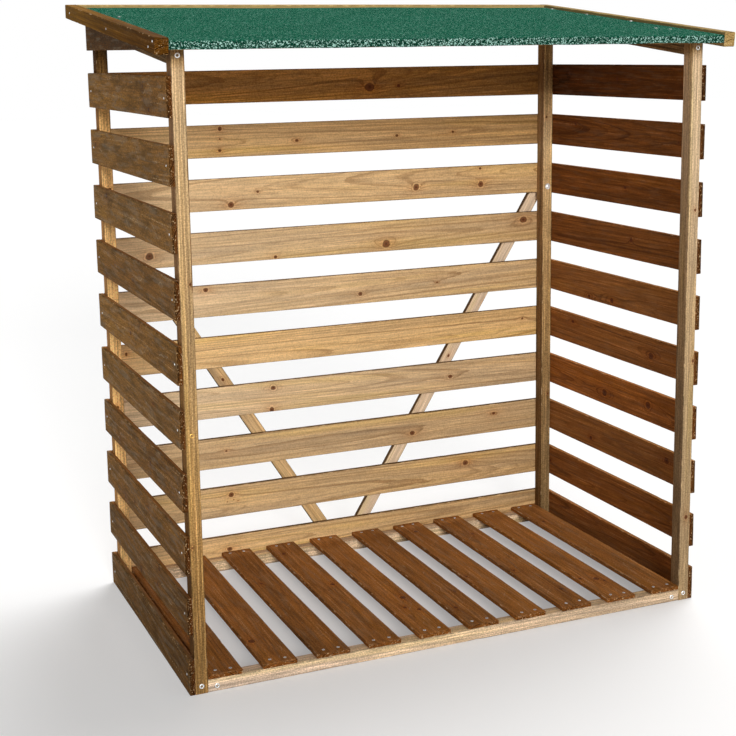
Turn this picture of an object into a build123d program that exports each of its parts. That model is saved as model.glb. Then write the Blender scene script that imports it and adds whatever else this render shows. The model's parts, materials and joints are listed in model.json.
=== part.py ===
from build123d import *

import math
import os

# Log store: an open-fronted timber frame with slatted sides and back, a slatted
# floor and a felted lean-to roof that falls towards the open front.
# Millimetres. +X is right seen from the front, +Y is back, +Z is up.
# While it is modelled, y = 0 is the front face of the front posts and x = 0 is
# the middle; centred() then puts the origin under the middle of the whole store.

# Frame
FRAME_WIDTH = 1380.0        # over the outer faces of the posts
FRAME_DEPTH = 779.0         # front face of the front posts to back face of the back posts
POST_WIDTH = 31.0           # along X
POST_DEPTH = 38.0           # along Y
RAIL_HEIGHT = 31.0          # floor rails, which lie on the ground between the posts
RAIL_DEPTH = 38.0
TOP_RAIL_WIDTH = 31.0       # sloping rails that tie the post tops along each side
TOP_RAIL_HEIGHT = 38.0

# Slats of the sides and the back
SLAT_COUNT = 10             # full slats in each wall; one more, cut to the roof, closes the top
SLAT_HEIGHT = 90.0
SLAT_THICKNESS = 13.0
SLAT_PITCH = 148.5
THIN_END = 8.0              # the cut slat of each side stops where it would be thinner than this

# Floor
BOARD_COUNT = 10
BOARD_WIDTH = 87.0
BOARD_THICKNESS = 11.0
BOARD_SETBACK = 1.5         # boards stop short of the front face of the front rail

# Braces nailed across the outside of the back, as a V that stands on the ground
BRACE_WIDTH = 38.0
BRACE_THICKNESS = 16.0
BRACE_FOOT = 16.0           # where the middle line of a brace meets the ground, from the middle
BRACE_SLAT = 8              # both middle lines cross the back posts behind this slat,
BRACE_RISE = 20.5           # this far above its lower edge
RIGHT_BRACE_PAST = 26.0     # the right brace runs on past the middle of its post
LEFT_BRACE_SHORT = 106.0    # the left brace stops on the slat below, short of its post

# Roof
ROOF_SLOPE = 6.17           # degrees
EAVES_RISE = 2.2            # deck underside above the last slat line at the front posts
TRIM_WIDTH = 31.0
TRIM_HEIGHT = 36.0
TRIM_STAND = 6.0            # how far the trims stand above the felt
SIDE_OVERHANG = 50.0        # outer face of a side trim beyond the posts
FRONT_OVERHANG = 63.0
BACK_OVERHANG = 80.0
DECK_THICKNESS = 18.0
FELT_THICKNESS = 2.5
FELT_FOLD = 5.0             # outer radius where the felt turns down over the front edge

HALF_WIDTH = FRAME_WIDTH / 2
SLOPE = math.radians(ROOF_SLOPE)
ROOF_LENGTH = (FRONT_OVERHANG + FRAME_DEPTH + BACK_OVERHANG) / math.cos(SLOPE)
ROOF_HALF_WIDTH = HALF_WIDTH + SIDE_OVERHANG
DECK_HALF_WIDTH = ROOF_HALF_WIDTH - TRIM_WIDTH
DECK_DROP = TRIM_STAND + FELT_THICKNESS + DECK_THICKNESS    # trim top to deck underside
WALL_BACK = FRAME_DEPTH + SLAT_THICKNESS
TOP_SLAT_LINE = SLAT_COUNT * SLAT_PITCH     # lower edge of the slats that are cut to the roof


def block(x0, x1, y0, y1, z0, z1):
    """A box given by its two limits along each axis."""
    size = (x1 - x0, y1 - y0, z1 - z0)
    return Pos(x0, y0, z0) * Box(*size, align=(Align.MIN, Align.MIN, Align.MIN))


def under_roof_height(y):
    """Height of the deck's underside above the ground at depth y."""
    return TOP_SLAT_LINE + EAVES_RISE + y * math.tan(SLOPE)


def roof_wedge(y0, y1, z0, x0, x1):
    """Solid from height z0 up to the deck's underside, between y0 and y1 and between x0 and x1."""
    corners = [
        (y0, z0),
        (y1, z0),
        (y1, under_roof_height(y1)),
        (y0, under_roof_height(y0)),
    ]
    return side_profile(corners, x0, x1)


def side_profile(corners, x0, x1):
    """Prism of a closed outline of (y, z) corners, from x0 to x1."""
    outline = Plane.YZ * Polyline(*corners, close=True)
    prism = extrude(make_face(outline), x1 - x0, dir=(1, 0, 0))
    return Pos(x0, 0, 0) * prism


def in_roof_plane(shape):
    """Tilt a piece drawn flat, with the trims' top front edge at its origin, onto the roof."""
    edge_height = under_roof_height(-FRONT_OVERHANG) + DECK_DROP / math.cos(SLOPE)
    return Pos(0, -FRONT_OVERHANG, edge_height) * Rot(ROOF_SLOPE, 0, 0) * shape


def posts():
    """The four posts, cut off along the deck's underside."""
    pieces = {}
    depths = {"front": 0.0, "back": FRAME_DEPTH - POST_DEPTH}
    sides = {"left": -HALF_WIDTH, "right": HALF_WIDTH - POST_WIDTH}
    for end, y in depths.items():
        for side, x in sides.items():
            post = roof_wedge(y, y + POST_DEPTH, 0.0, x, x + POST_WIDTH)
            pieces[f"{end}_{side}_post"] = post
    return pieces


def top_rails():
    """Sloping rails between the front and back posts of each side, right under the deck."""
    y0 = POST_DEPTH
    y1 = FRAME_DEPTH - POST_DEPTH
    drop = TOP_RAIL_HEIGHT / math.cos(SLOPE)
    corners = [
        (y0, under_roof_height(y0) - drop),
        (y1, under_roof_height(y1) - drop),
        (y1, under_roof_height(y1)),
        (y0, under_roof_height(y0)),
    ]
    left = side_profile(corners, -HALF_WIDTH, -HALF_WIDTH + TOP_RAIL_WIDTH)
    right = side_profile(corners, HALF_WIDTH - TOP_RAIL_WIDTH, HALF_WIDTH)
    return {"left_top_rail": left, "right_top_rail": right}


def side_slats():
    """Slats nailed on the outer faces of the posts; the lowest one is number 1."""
    pieces = {}
    outer = {"left": -HALF_WIDTH - SLAT_THICKNESS, "right": HALF_WIDTH}
    thin_front = max(0.0, (THIN_END - EAVES_RISE) / math.tan(SLOPE))
    for side, x in outer.items():
        for number in range(SLAT_COUNT):
            z = number * SLAT_PITCH
            slat = block(x, x + SLAT_THICKNESS, 0.0, WALL_BACK, z, z + SLAT_HEIGHT)
            pieces[f"{side}_slat_{number + 1}"] = slat
        cut_slat = roof_wedge(thin_front, WALL_BACK, TOP_SLAT_LINE, x, x + SLAT_THICKNESS)
        pieces[f"{side}_top_slat"] = cut_slat
    return pieces


def back_slats():
    """The back wall: slats on the back faces of the back posts, between the side slats."""
    slats = []
    for number in range(SLAT_COUNT):
        z = number * SLAT_PITCH
        slats.append(block(-HALF_WIDTH, HALF_WIDTH, FRAME_DEPTH, WALL_BACK, z, z + SLAT_HEIGHT))
    slats.append(roof_wedge(FRAME_DEPTH, WALL_BACK, TOP_SLAT_LINE, -HALF_WIDTH, HALF_WIDTH))
    return {"back_slats": Compound(slats)}


def brace(run_on):
    """A brace of the right-hand half, which runs on past the middle of its post by run_on."""
    rise = (BRACE_SLAT - 1) * SLAT_PITCH + BRACE_RISE
    reach = HALF_WIDTH - POST_WIDTH / 2 - BRACE_FOOT
    lean = math.degrees(math.atan2(reach, rise))
    # Drawn upright over its foot with some length to spare below, then leaned over,
    # then trimmed along the ground, the middle and the side of the wall.
    upright = block(
        -BRACE_WIDTH / 2, BRACE_WIDTH / 2,
        WALL_BACK, WALL_BACK + BRACE_THICKNESS,
        -2 * BRACE_WIDTH, math.hypot(reach, rise) + run_on,
    )
    leaning = Pos(BRACE_FOOT, 0, 0) * Rot(0, lean, 0) * upright
    kept = block(
        0.0, HALF_WIDTH + SLAT_THICKNESS,
        WALL_BACK, WALL_BACK + BRACE_THICKNESS,
        0.0, TOP_SLAT_LINE,
    )
    return leaning & kept


def back_braces():
    """Two braces on the outside of the back slats, from beside the posts down to the middle."""
    right = brace(RIGHT_BRACE_PAST)
    left = mirror(brace(-LEFT_BRACE_SHORT), about=Plane.YZ)
    return {"left_back_brace": left, "right_back_brace": right}


def floor_rails():
    """Rails on the ground between the front posts and between the back posts."""
    x = HALF_WIDTH - POST_WIDTH
    front = block(-x, x, 0.0, RAIL_DEPTH, 0.0, RAIL_HEIGHT)
    back = block(-x, x, FRAME_DEPTH - RAIL_DEPTH, FRAME_DEPTH, 0.0, RAIL_HEIGHT)
    return {"front_floor_rail": front, "back_floor_rail": back}


def floor_boards():
    """Boards laid front to back over the two floor rails, evenly spaced between the posts."""
    span = FRAME_WIDTH - 2 * POST_WIDTH
    pitch = (span - BOARD_WIDTH) / (BOARD_COUNT - 1)
    boards = []
    for number in range(BOARD_COUNT):
        x = -span / 2 + number * pitch
        boards.append(block(
            x, x + BOARD_WIDTH,
            BOARD_SETBACK, FRAME_DEPTH,
            RAIL_HEIGHT, RAIL_HEIGHT + BOARD_THICKNESS,
        ))
    return {"floor_boards": Compound(boards)}


def roof_deck():
    """The boarded deck between the trims, under the felt."""
    flat = block(
        -DECK_HALF_WIDTH, DECK_HALF_WIDTH,
        FELT_THICKNESS, ROOF_LENGTH - TRIM_WIDTH,
        -DECK_DROP, -DECK_DROP + DECK_THICKNESS,
    )
    return {"roof_deck": in_roof_plane(flat)}


def roof_felt():
    """Felt over the deck, turned down over its front edge with a rounded fold."""
    top = -TRIM_STAND
    under = top - FELT_THICKNESS
    back = ROOF_LENGTH - TRIM_WIDTH
    corners = [
        (0.0, -DECK_DROP),
        (FELT_THICKNESS, -DECK_DROP),
        (FELT_THICKNESS, under),
        (back, under),
        (back, top),
        (0.0, top),
    ]
    flat = side_profile(corners, -DECK_HALF_WIDTH, DECK_HALF_WIDTH)
    fold_edge = flat.edges().filter_by(Axis.X).sort_by(lambda edge: edge.center().Y - edge.center().Z)[0]
    flat = fillet(fold_edge, FELT_FOLD)
    return {"roof_felt": in_roof_plane(flat)}


def roof_trims():
    """Battens that frame the roof: one along each side, and one between them at the back."""
    outer = ROOF_HALF_WIDTH
    inner = DECK_HALF_WIDTH
    left = block(-outer, -inner, 0.0, ROOF_LENGTH, -TRIM_HEIGHT, 0.0)
    right = block(inner, outer, 0.0, ROOF_LENGTH, -TRIM_HEIGHT, 0.0)
    back = block(-inner, inner, ROOF_LENGTH - TRIM_WIDTH, ROOF_LENGTH, -TRIM_HEIGHT, 0.0)
    return {
        "left_roof_trim": in_roof_plane(left),
        "right_roof_trim": in_roof_plane(right),
        "back_roof_trim": in_roof_plane(back),
    }


def centred(pieces):
    """Move every piece so that the origin lies under the middle of the whole store."""
    boxes = [piece.bounding_box() for piece in pieces.values()]
    middle = (min(box.min.Y for box in boxes) + max(box.max.Y for box in boxes)) / 2
    return {name: Pos(0, -middle, 0) * piece for name, piece in pieces.items()}


def main():
    """Build every piece and write one STEP file for each."""
    pieces = {}
    for group in (
        posts, top_rails, side_slats, back_slats, back_braces,
        floor_rails, floor_boards, roof_deck, roof_felt, roof_trims,
    ):
        pieces.update(group())
    os.makedirs("parts", exist_ok=True)
    for name, piece in centred(pieces).items():
        export_step(piece, f"parts/{name}.step")


main()
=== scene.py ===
"""Looks of an open-fronted log store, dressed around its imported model.

Every board and batten is one sawn timber: a rounded section carried along the grain,
with soft arrises, small knocks, a little bow and cup, and attributes that say where each
point lay in its tree. The wood finish reads those attributes, so growth rings run on from
face to edge to end grain, and knots are branches that the rings swell around.
The roofing felt is a turned-down sheet, and every nail, screw and bolt is a lathed head.
Lengths are metres. +X is right seen from the front, +Y is back, +Z is up.
"""

from __future__ import annotations

import json
import logging
import math
import zlib
from collections.abc import Callable, Iterator
from dataclasses import dataclass, field, replace
from enum import Enum
from typing import ClassVar

import bpy
import numpy as np
from mathutils import Matrix, Vector

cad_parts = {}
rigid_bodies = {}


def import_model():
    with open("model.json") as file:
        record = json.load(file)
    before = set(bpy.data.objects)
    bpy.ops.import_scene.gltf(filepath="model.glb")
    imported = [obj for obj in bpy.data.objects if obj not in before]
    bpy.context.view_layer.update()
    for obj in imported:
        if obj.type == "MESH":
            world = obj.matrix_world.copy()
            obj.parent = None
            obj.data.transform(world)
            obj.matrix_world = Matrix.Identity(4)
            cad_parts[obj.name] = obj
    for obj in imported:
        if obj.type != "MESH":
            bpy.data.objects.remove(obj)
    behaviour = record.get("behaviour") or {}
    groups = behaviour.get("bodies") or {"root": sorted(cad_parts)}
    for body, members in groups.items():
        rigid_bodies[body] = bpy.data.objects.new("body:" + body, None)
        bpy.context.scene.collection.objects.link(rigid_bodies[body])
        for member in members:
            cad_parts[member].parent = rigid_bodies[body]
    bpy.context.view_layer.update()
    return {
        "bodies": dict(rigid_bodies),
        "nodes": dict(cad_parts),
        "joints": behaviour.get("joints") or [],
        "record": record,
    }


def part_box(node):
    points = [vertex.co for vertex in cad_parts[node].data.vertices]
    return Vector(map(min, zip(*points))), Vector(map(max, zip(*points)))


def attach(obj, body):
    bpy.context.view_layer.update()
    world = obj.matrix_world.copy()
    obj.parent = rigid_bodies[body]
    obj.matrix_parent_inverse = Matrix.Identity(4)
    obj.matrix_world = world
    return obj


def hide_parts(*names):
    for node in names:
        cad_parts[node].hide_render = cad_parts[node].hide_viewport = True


LOG = logging.getLogger("log_store")
Array = np.ndarray
Colour = tuple[float, ...]
Finishes = dict[str, bpy.types.Material]
Places = Iterator[tuple[Array, Array]]
BODY = "root"
X, Y, Z = np.eye(3)
SLATS = 10
KNOT_PLACES = 6
LEAST_KNOT = 0.0004
WOOD_COLOURS = ("Early", "Late", "Branch", "Outside", "Narrow", "Worn", "End Grain")
WOOD_NUMBERS = ("Ring", "Contrast", "Crisp", "Blotch", "Sawn", "Grime", "Wander")


def knot_names(start: str) -> list[str]:
    """The names of the places for knots, after a common start."""
    return [f"{start}{number}" for number in range(1, KNOT_PLACES + 1)]


def draws(seed: str) -> np.random.Generator:
    """The source of random draws that belongs to a name."""
    return np.random.default_rng(zlib.crc32(seed.encode()))


# ---- Shader writing ----


def operator(kind: str, swapped: bool = False) -> Callable[[Value, object], Value]:
    """A method that adds one Math node.

    Args:
        kind: operation of the node.
        swapped: whether its two sides change places.

    Returns:
        The method.
    """
    def apply(first: Value, second: object) -> Value:
        """The new node's result."""
        return first.graph.math(kind, *((second, first) if swapped else (first, second)))

    return apply


class Value:
    """A result inside a node tree. Arithmetic on it adds Math nodes."""

    def __init__(self, graph: Graph, socket: bpy.types.NodeSocket) -> None:
        """Remember the socket and the graph that it is in."""
        self.graph, self.socket = graph, socket

    __add__, __mul__ = operator("ADD"), operator("MULTIPLY")
    __sub__, __rsub__ = operator("SUBTRACT"), operator("SUBTRACT", swapped=True)
    __truediv__, __pow__ = operator("DIVIDE"), operator("POWER")


class Graph:
    """Writes shader nodes into one tree."""

    def __init__(self, tree: bpy.types.NodeTree) -> None:
        """Start on the tree of a material, a group or the world."""
        self.tree = tree

    def node(self, kind: str, *values: object, **settings: object) -> bpy.types.Node:
        """Add one node.

        Args:
            kind: node type without its ShaderNode prefix.
            values: what its inputs take, in order; None leaves an input as it is.
            settings: properties of the node to set.

        Returns:
            The new node.
        """
        made = self.tree.nodes.new("ShaderNode" + kind)
        for name, value in settings.items():
            setattr(made, name, value)
        for socket, value in zip(made.inputs, values):
            self.feed(socket, value)
        return made

    def feed(self, socket: bpy.types.NodeSocket, value: object) -> None:
        """Link a result into a socket, or set the socket to a plain value.

        Args:
            socket: input of a node.
            value: a result, a plain value, or None to leave it as it is.
        """
        if isinstance(value, Value):
            self.tree.links.new(value.socket, socket)
        elif value is not None:
            socket.default_value = value

    def result(self, kind: str, *values: object, out: int | str = 0, **settings: object) -> Value:
        """One output of a new node."""
        return Value(self, self.node(kind, *values, **settings).outputs[out])

    def math(self, operation: str, *values: object, clamp: bool = False) -> Value:
        """Result of one Math node."""
        return self.result("Math", *values, operation=operation, use_clamp=clamp)

    def stretch(self, where: Value, along: float, across: float) -> Value:
        """A place in the tree with its way along and its two ways across multiplied."""
        return self.result("VectorMath", where, (along, across, across), operation="MULTIPLY")

    def split(self, where: Value) -> tuple[Value, ...]:
        """The three numbers of a vector."""
        return tuple(Value(self, out) for out in self.node("SeparateXYZ", where).outputs)

    def noise(self, where: Value, scale: float, detail: float = 2.0, rough: float = 0.5) -> Value:
        """Smooth noise from 0 to 1 at a place."""
        return self.result("TexNoise", where, None, scale, detail, rough)

    def wave(self, value: Value, detail: float | None = None) -> Value:
        """Smooth noise from 0 to 1 along one number."""
        return self.result("TexNoise", None, value, None, detail, noise_dimensions="1D")

    def chance(self, value: Value) -> Value:
        """A number from 0 to 1 that depends at random on one number."""
        return self.result("TexWhiteNoise", None, value, noise_dimensions="1D")

    def remap(self, *values: object) -> Value:
        """Smooth step of a value from a low to a high limit, onto 0 to 1 or two further limits."""
        return self.result("MapRange", *values, interpolation_type="SMOOTHSTEP")

    def hump(self, value: Value, middle: float, width: float) -> Value:
        """Bell curve of a value: 1 at its middle and near 0 two widths away."""
        away = (value - middle) / width
        return self.math("EXPONENT", away * away * -1.0)

    def blend(self, share: object, first: object, second: object, kind: str = "MIX") -> Value:
        """Colour mix of two colours by a share."""
        inputs = (share, *[None] * 5, first, second)
        return self.result("Mix", *inputs, out=2, data_type="RGBA", blend_type=kind)

    def tinted(self, share: object, colour: object, tint: object) -> Value:
        """A colour multiplied by a tint, or by one number, as far as a share says."""
        tint = (tint, tint, tint, 1.0) if isinstance(tint, float) else tint
        return self.blend(share, colour, tint, "MULTIPLY")

    def scaled(self, colour: object, amount: object) -> Value:
        """A colour made lighter or darker by a number."""
        colour = colour[:3] if isinstance(colour, tuple) else colour
        return self.result("VectorMath", colour, None, None, amount, operation="SCALE")

    def attribute(self, name: str) -> Value:
        """Vector attribute of the mesh."""
        return self.result("Attribute", out="Vector", attribute_name=name)

    def group(self, tree: bpy.types.NodeTree, values: dict[str, object]) -> dict[str, Value]:
        """Place a node group, feed its inputs by name and give back its outputs by name.

        Args:
            tree: the group's tree.
            values: what its inputs take.

        Returns:
            Its outputs.
        """
        made = self.node("Group", node_tree=tree)
        for name, value in values.items():
            self.feed(made.inputs[name], value)
        return {socket.name: Value(self, socket) for socket in made.outputs}


class GroupGraph(Graph):
    """A node group with named sockets, written once and placed in many materials."""

    def __init__(self, name: str, inputs: dict[str, str], outputs: dict[str, str]) -> None:
        """Make the group's tree.

        Args:
            name: name of the group.
            inputs: kind of each input socket.
            outputs: kind of each output socket.
        """
        super().__init__(bpy.data.node_groups.new(name, "ShaderNodeTree"))
        for way, sockets in (("INPUT", inputs), ("OUTPUT", outputs)):
            for label, kind in sockets.items():
                self.tree.interface.new_socket(label, in_out=way, socket_type="NodeSocket" + kind)
        entry = self.tree.nodes.new("NodeGroupInput")
        self.entry = {label: Value(self, entry.outputs[label]) for label in inputs}
        self.leave = self.tree.nodes.new("NodeGroupOutput")

    def give(self, **results: Value) -> bpy.types.NodeTree:
        """Link the group's outputs.

        Args:
            results: what each output gives.

        Returns:
            The group's tree.
        """
        for name, value in results.items():
            self.feed(self.leave.inputs[name], value)
        return self.tree


class Coat(Graph):
    """A new material: the graph that feeds its Principled shader."""

    def __init__(self, name: str) -> None:
        """Start the material.

        Args:
            name: name of the material.
        """
        self.material = bpy.data.materials.new(name)
        self.material.use_nodes = True
        super().__init__(self.material.node_tree)
        self.place = self.result("TexCoord", out="Object")

    def dress(
        self, relief: Value, depth: float, strength: float = 1.0, **looks: object
    ) -> bpy.types.Material:
        """Feed the shader.

        Args:
            relief: height of the surface from 0 to 1.
            depth: what a relief of 1 measures.
            strength: strength of the bump.
            looks: values of the shader's sockets; underscores stand for spaces.

        Returns:
            The material.
        """
        bump = self.node("Bump")
        for name, value in (("Strength", strength), ("Distance", depth), ("Height", relief)):
            self.feed(bump.inputs[name], value)
        for name, value in {**looks, "Normal": Value(self, bump.outputs[0])}.items():
            self.feed(self.tree.nodes["Principled BSDF"].inputs[name.replace("_", " ")], value)
        return self.material


class WoodGroups:
    """The node groups that all timber finishes share."""

    MOSS = (0.80, 0.84, 0.62, 1.0)
    STAIN = (0.72, 0.46, 0.28, 1.0)
    GREYED = (0.42, 0.42, 0.38, 1.0)
    BLOOM = (0.32, 0.27, 0.195, 1.0)
    COOL = (0.98, 0.97, 1.10, 1.0)
    WARM = (1.08, 0.96, 0.78, 1.0)

    def __init__(self) -> None:
        """Write every group once."""
        self.branch = self._branch()
        self.rings = self._rings()
        self.fibre = self._fibre()
        self.timber = self._timber()

    @staticmethod
    def _branch() -> bpy.types.NodeTree:
        """One knot: a round branch that leaves the pith at a height and an angle.

        Returns:
            Group with the swell of the rings around it, its core, the dark spot at its
            middle, the dark lines at and outside its rim, the pale band between them, and
            the brown halo along the grain.
        """
        g = GroupGraph(
            "Branch Knot", {"Tree": "Vector", "Knot": "Vector", "Waver": "Float"},
            dict.fromkeys(("Swell", "Core", "Pith", "Rim", "Pale", "Halo"), "Float"),
        )
        high, turn, size = g.split(g.entry["Knot"])
        up, side, deep = g.split(g.entry["Tree"])
        radius = g.math("MAXIMUM", size, LEAST_KNOT)
        sine, cosine = g.math("SINE", turn), g.math("COSINE", turn)
        rise, off = up - high, side * sine - deep * cosine
        ahead = side * cosine + deep * sine
        shown = g.math("GREATER_THAN", size, LEAST_KNOT) * g.remap(ahead, -0.002, 0.004)
        slope = rise * 0.80
        distance = (g.entry["Waver"] * 0.9 + 0.55) * g.math("SQRT", slope * slope + off * off)
        share = distance / (radius * 0.85)
        kind = g.chance(high * 977.0)
        outer = g.hump(share, 1.80, 0.14) * g.remap(kind, 0.45, 0.9, 0.0, 0.5)
        along, across = rise / (radius * 3.0), off / (radius * 1.4)
        spread = along * along + across * across + 1.0
        return g.give(
            Swell=spread ** -1.6 * radius * shown * 1.3,
            Core=shown * g.remap(share, 1.05, 0.80),
            Pith=shown * g.hump(share, 0.0, 0.42),
            Rim=shown * (outer + g.hump(share, 0.98, 0.13)),
            Pale=shown * g.hump(share, 1.38, 0.24),
            Halo=shown * (kind * -0.6 + 1.0) / spread,
        )

    @staticmethod
    def _rings() -> bpy.types.NodeTree:
        """Growth rings: one pale and one dark band for each year out from the pith.

        Returns:
            Group with the late wood of each year, some years darker than others.
        """
        numbers = dict.fromkeys(("Swell", "Ring", "Waver", "Wander"), "Float")
        g = GroupGraph("Growth Rings", {"Tree": "Vector", **numbers}, {"Late": "Float"})
        _, side, deep = g.split(g.entry["Tree"])
        sweep = g.noise(g.stretch(g.entry["Tree"], 1.0, 7.0), 1.0)
        out = g.math("SQRT", side * side + deep * deep)
        out = out + g.entry["Wander"] * (sweep - 0.5) * 0.016
        out = out + (g.entry["Waver"] - 0.5) * 0.0022 - g.entry["Swell"]
        years = out / g.entry["Ring"] + g.wave(out * 90.0) * 1.3
        part, year = g.math("FRACT", years), g.chance(g.math("FLOOR", years))
        late = g.remap(part, 0.48, 0.90) * g.remap(part, 1.0, 0.94)
        return g.give(Late=late * (year * 0.75 + 0.25))

    @staticmethod
    def _fibre() -> bpy.types.NodeTree:
        """Streaks and flecks that run with the grain, and the marks that a saw left across it.

        Returns:
            Group with a broad streak, a narrow streak and a short fleck, each from 0 to 1,
            a wavering of the grain, and the ridges of the saw.
        """
        kinds = {
            "Broad": (1.3, 24.0, 2.0), "Streak": (2.2, 150.0, 3.0), "Fleck": (11.0, 430.0, 3.0),
            "Waver": (12.0, 80.0, 2.0),
        }
        g = GroupGraph("Wood Fibre", {"Tree": "Vector"}, dict.fromkeys((*kinds, "Saw"), "Float"))
        found = {
            name: g.noise(g.stretch(g.entry["Tree"], along, across), 1.0, detail, 0.6)
            for name, (along, across, detail) in kinds.items()
        }
        up, side, _ = g.split(g.entry["Tree"])
        ridge = g.math("SINE", found["Waver"] * 9.0 + (side * 0.12 + up) * 2100.0)
        saw = (ridge * 0.5 + 0.5) * g.remap(found["Waver"], 0.35, 0.60)
        return g.give(**found, Saw=saw)

    def _timber(self) -> bpy.types.NodeTree:
        """Everything that the surface of a piece of softwood shows, from the groups above.

        Returns:
            Group with the colour, the roughness and the height of the surface.
        """
        places = ("Tree", "Edge", "Side", "Tone", "Place", *knot_names("Knot "))
        inputs = dict.fromkeys(places, "Vector") | dict.fromkeys(WOOD_COLOURS, "Color")
        g = GroupGraph(
            "Softwood", inputs | dict.fromkeys(WOOD_NUMBERS, "Float"),
            {"Colour": "Color", "Roughness": "Float", "Height": "Float"},
        )
        tree, worn, grime = g.entry["Tree"], g.entry["Worn"], g.entry["Grime"]
        fibre = g.group(self.fibre, {"Tree": tree})
        knots: dict[str, Value] = {}
        for label in knot_names("Knot "):
            inputs = {"Tree": tree, "Knot": g.entry[label], "Waver": fibre["Waver"]}
            for name, value in g.group(self.branch, inputs).items():
                how = "ADD" if name == "Swell" else "MAXIMUM"
                knots[name] = g.math(how, knots[name], value) if name in knots else value
        late = g.group(self.rings, {
            "Tree": tree, "Swell": knots["Swell"], "Ring": g.entry["Ring"],
            "Waver": fibre["Waver"], "Wander": g.entry["Wander"],
        })["Late"]
        arris, cut, outer = g.split(g.entry["Edge"])
        light, warm, streaks = g.split(g.entry["Tone"])
        over, narrow, depth = g.split(g.entry["Side"])
        bare, end = g.remap(outer, 0.15, 0.95), g.remap(cut, 0.45, 0.75)
        weathered = bare * grime
        streaks = streaks * (weathered * -0.35 + 1.0)
        broad, streak, fleck = (fibre[name] - 0.5 for name in ("Broad", "Streak", "Fleck"))
        mottle = g.noise(g.stretch(tree, 9.0, 34.0), 1.0, 4.0, 0.65)
        specks = g.noise(g.entry["Place"], 260.0, 2.0, 0.6)

        # Rings, fibre, light, warmth and depth of the stain; on some timbers the tone's light and depth
        # are painted shade
        broken = g.remap(fibre["Fleck"], 0.36, 0.56) * 0.55 + 0.45
        figure = late * broken * (end * 0.6 + g.entry["Contrast"]) * streaks
        colour = g.blend(figure, g.entry["Early"], g.entry["Late"])
        fine = fleck * 0.80 + streak * streaks * 0.75
        fine = fine + (specks - 0.5) * (weathered * 1.3 + 0.45)
        fine = fine * g.entry["Crisp"] + (mottle - 0.5) * g.entry["Blotch"]
        colour = g.scaled(colour, g.math("EXPONENT", broad * 0.60 + fine) * light)
        warmth = (warm + broad * 2.2) * 0.5 + 0.5
        colour = g.tinted(1.0, colour, g.blend(warmth, self.COOL, self.WARM))
        colour = g.result("Gamma", colour, depth)
        colour = g.tinted(g.remap(fibre["Broad"], 0.52, 0.70) * 0.5, colour, self.MOSS)

        # Knots
        colour = g.tinted(knots["Halo"] * 0.85, colour, self.STAIN)
        colour = g.tinted(knots["Pale"] * 0.60, colour, 1.35)
        branch = g.scaled(g.entry["Branch"], fibre["Fleck"] * 1.6 + 0.60)
        colour = g.blend(knots["Core"] * 0.84, colour, branch)
        lines = g.math("MAXIMUM", knots["Rim"], knots["Pith"]) * 0.72
        colour = g.blend(lines, colour, g.scaled(g.entry["Branch"], specks * 0.3 + 0.22))

        # Narrow faces darker: painted shade on the side faces, partly soil on the edges; weather on the
        # outer face, scratches and stray lines
        colour = g.tinted(narrow, colour, g.entry["Narrow"])
        colour = g.tinted(bare, colour, g.entry["Outside"])
        soil = grime * (bare * 0.7 + 0.3)
        colour = g.tinted(soil * g.remap(mottle, 0.40, 0.66), colour, self.GREYED)
        bloom = soil * g.remap(fibre["Waver"], 0.46, 0.68, 0.09, 0.36)
        colour = g.blend(bloom, colour, self.BLOOM)
        scratch = g.remap(fibre["Streak"], 0.60, 0.72) * g.remap(specks, 0.44, 0.58)
        colour = g.blend(scratch * soil * 0.60, colour, worn)
        aside = over - (g.wave(g.split(tree)[0] * 1.7, 0.3) * 2.4 - 0.7)
        stray = g.remap(g.math("ABSOLUTE", aside), 0.022, 0.006)
        stray = stray * g.remap(fibre["Waver"], 0.46, 0.60)
        colour = g.blend(stray * weathered * 0.36, colour, worn)
        colour = g.tinted(g.remap(specks, 0.60, 0.74) * (soil * 0.5 + 0.25), colour, 0.42)

        # Pale chips on the arrises, partly a painted highlight along them, patches darker along the
        # arrises, then the sawn ends
        knocks = g.noise(g.stretch(tree, 45.0, 90.0), 1.0, 3.0, 0.6)
        arris_chips_and_highlight = g.remap(arris, 0.30, 0.90) * g.remap(knocks, 0.54, 0.66)
        colour = g.blend(arris_chips_and_highlight * 0.45, colour, worn)
        dark_arris = g.remap(arris, 0.20, 0.80) * g.remap(knocks, 0.62, 0.40)
        colour = g.tinted(dark_arris * 0.50, colour, 0.32)
        sawn = g.tinted(1.0, colour, g.entry["End Grain"])
        arcs = g.remap(late, 0.06, 0.40) * 0.85
        sawn = g.blend(arcs, g.scaled(sawn, 1.2), g.scaled(sawn, 0.20))
        sawn = g.blend(g.remap(specks, 0.60, 0.70) * 0.6, sawn, worn)

        rough = fleck * 0.25 + 0.78 - late * 0.08 - knots["Core"] * 0.14
        height = fibre["Streak"] * 0.45 + fibre["Fleck"] * 0.40 + knots["Core"] * 0.35
        height = height - knots["Rim"] * 0.45 + fibre["Saw"] * g.entry["Sawn"] * 0.55
        return g.give(
            Colour=g.blend(end, colour, sawn),
            Roughness=g.math("ADD", rough, end * 0.18, clamp=True),
            Height=height + specks * (end * 1.6 + grime) * 0.8,
        )


# ---- Finishes ----


def linear(colour: Colour) -> tuple[float, float, float, float]:
    """Light values of a display colour.

    Args:
        colour: three numbers from 0 to 255.

    Returns:
        Red, green and blue from 0 to 1, and 1 for an opaque colour.
    """
    share = np.array(colour, float) / 255.0
    values = np.where(share <= 0.04045, share / 12.92, ((share + 0.055) / 1.055) ** 2.4)
    return (*(float(value) for value in values), 1.0)


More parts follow.
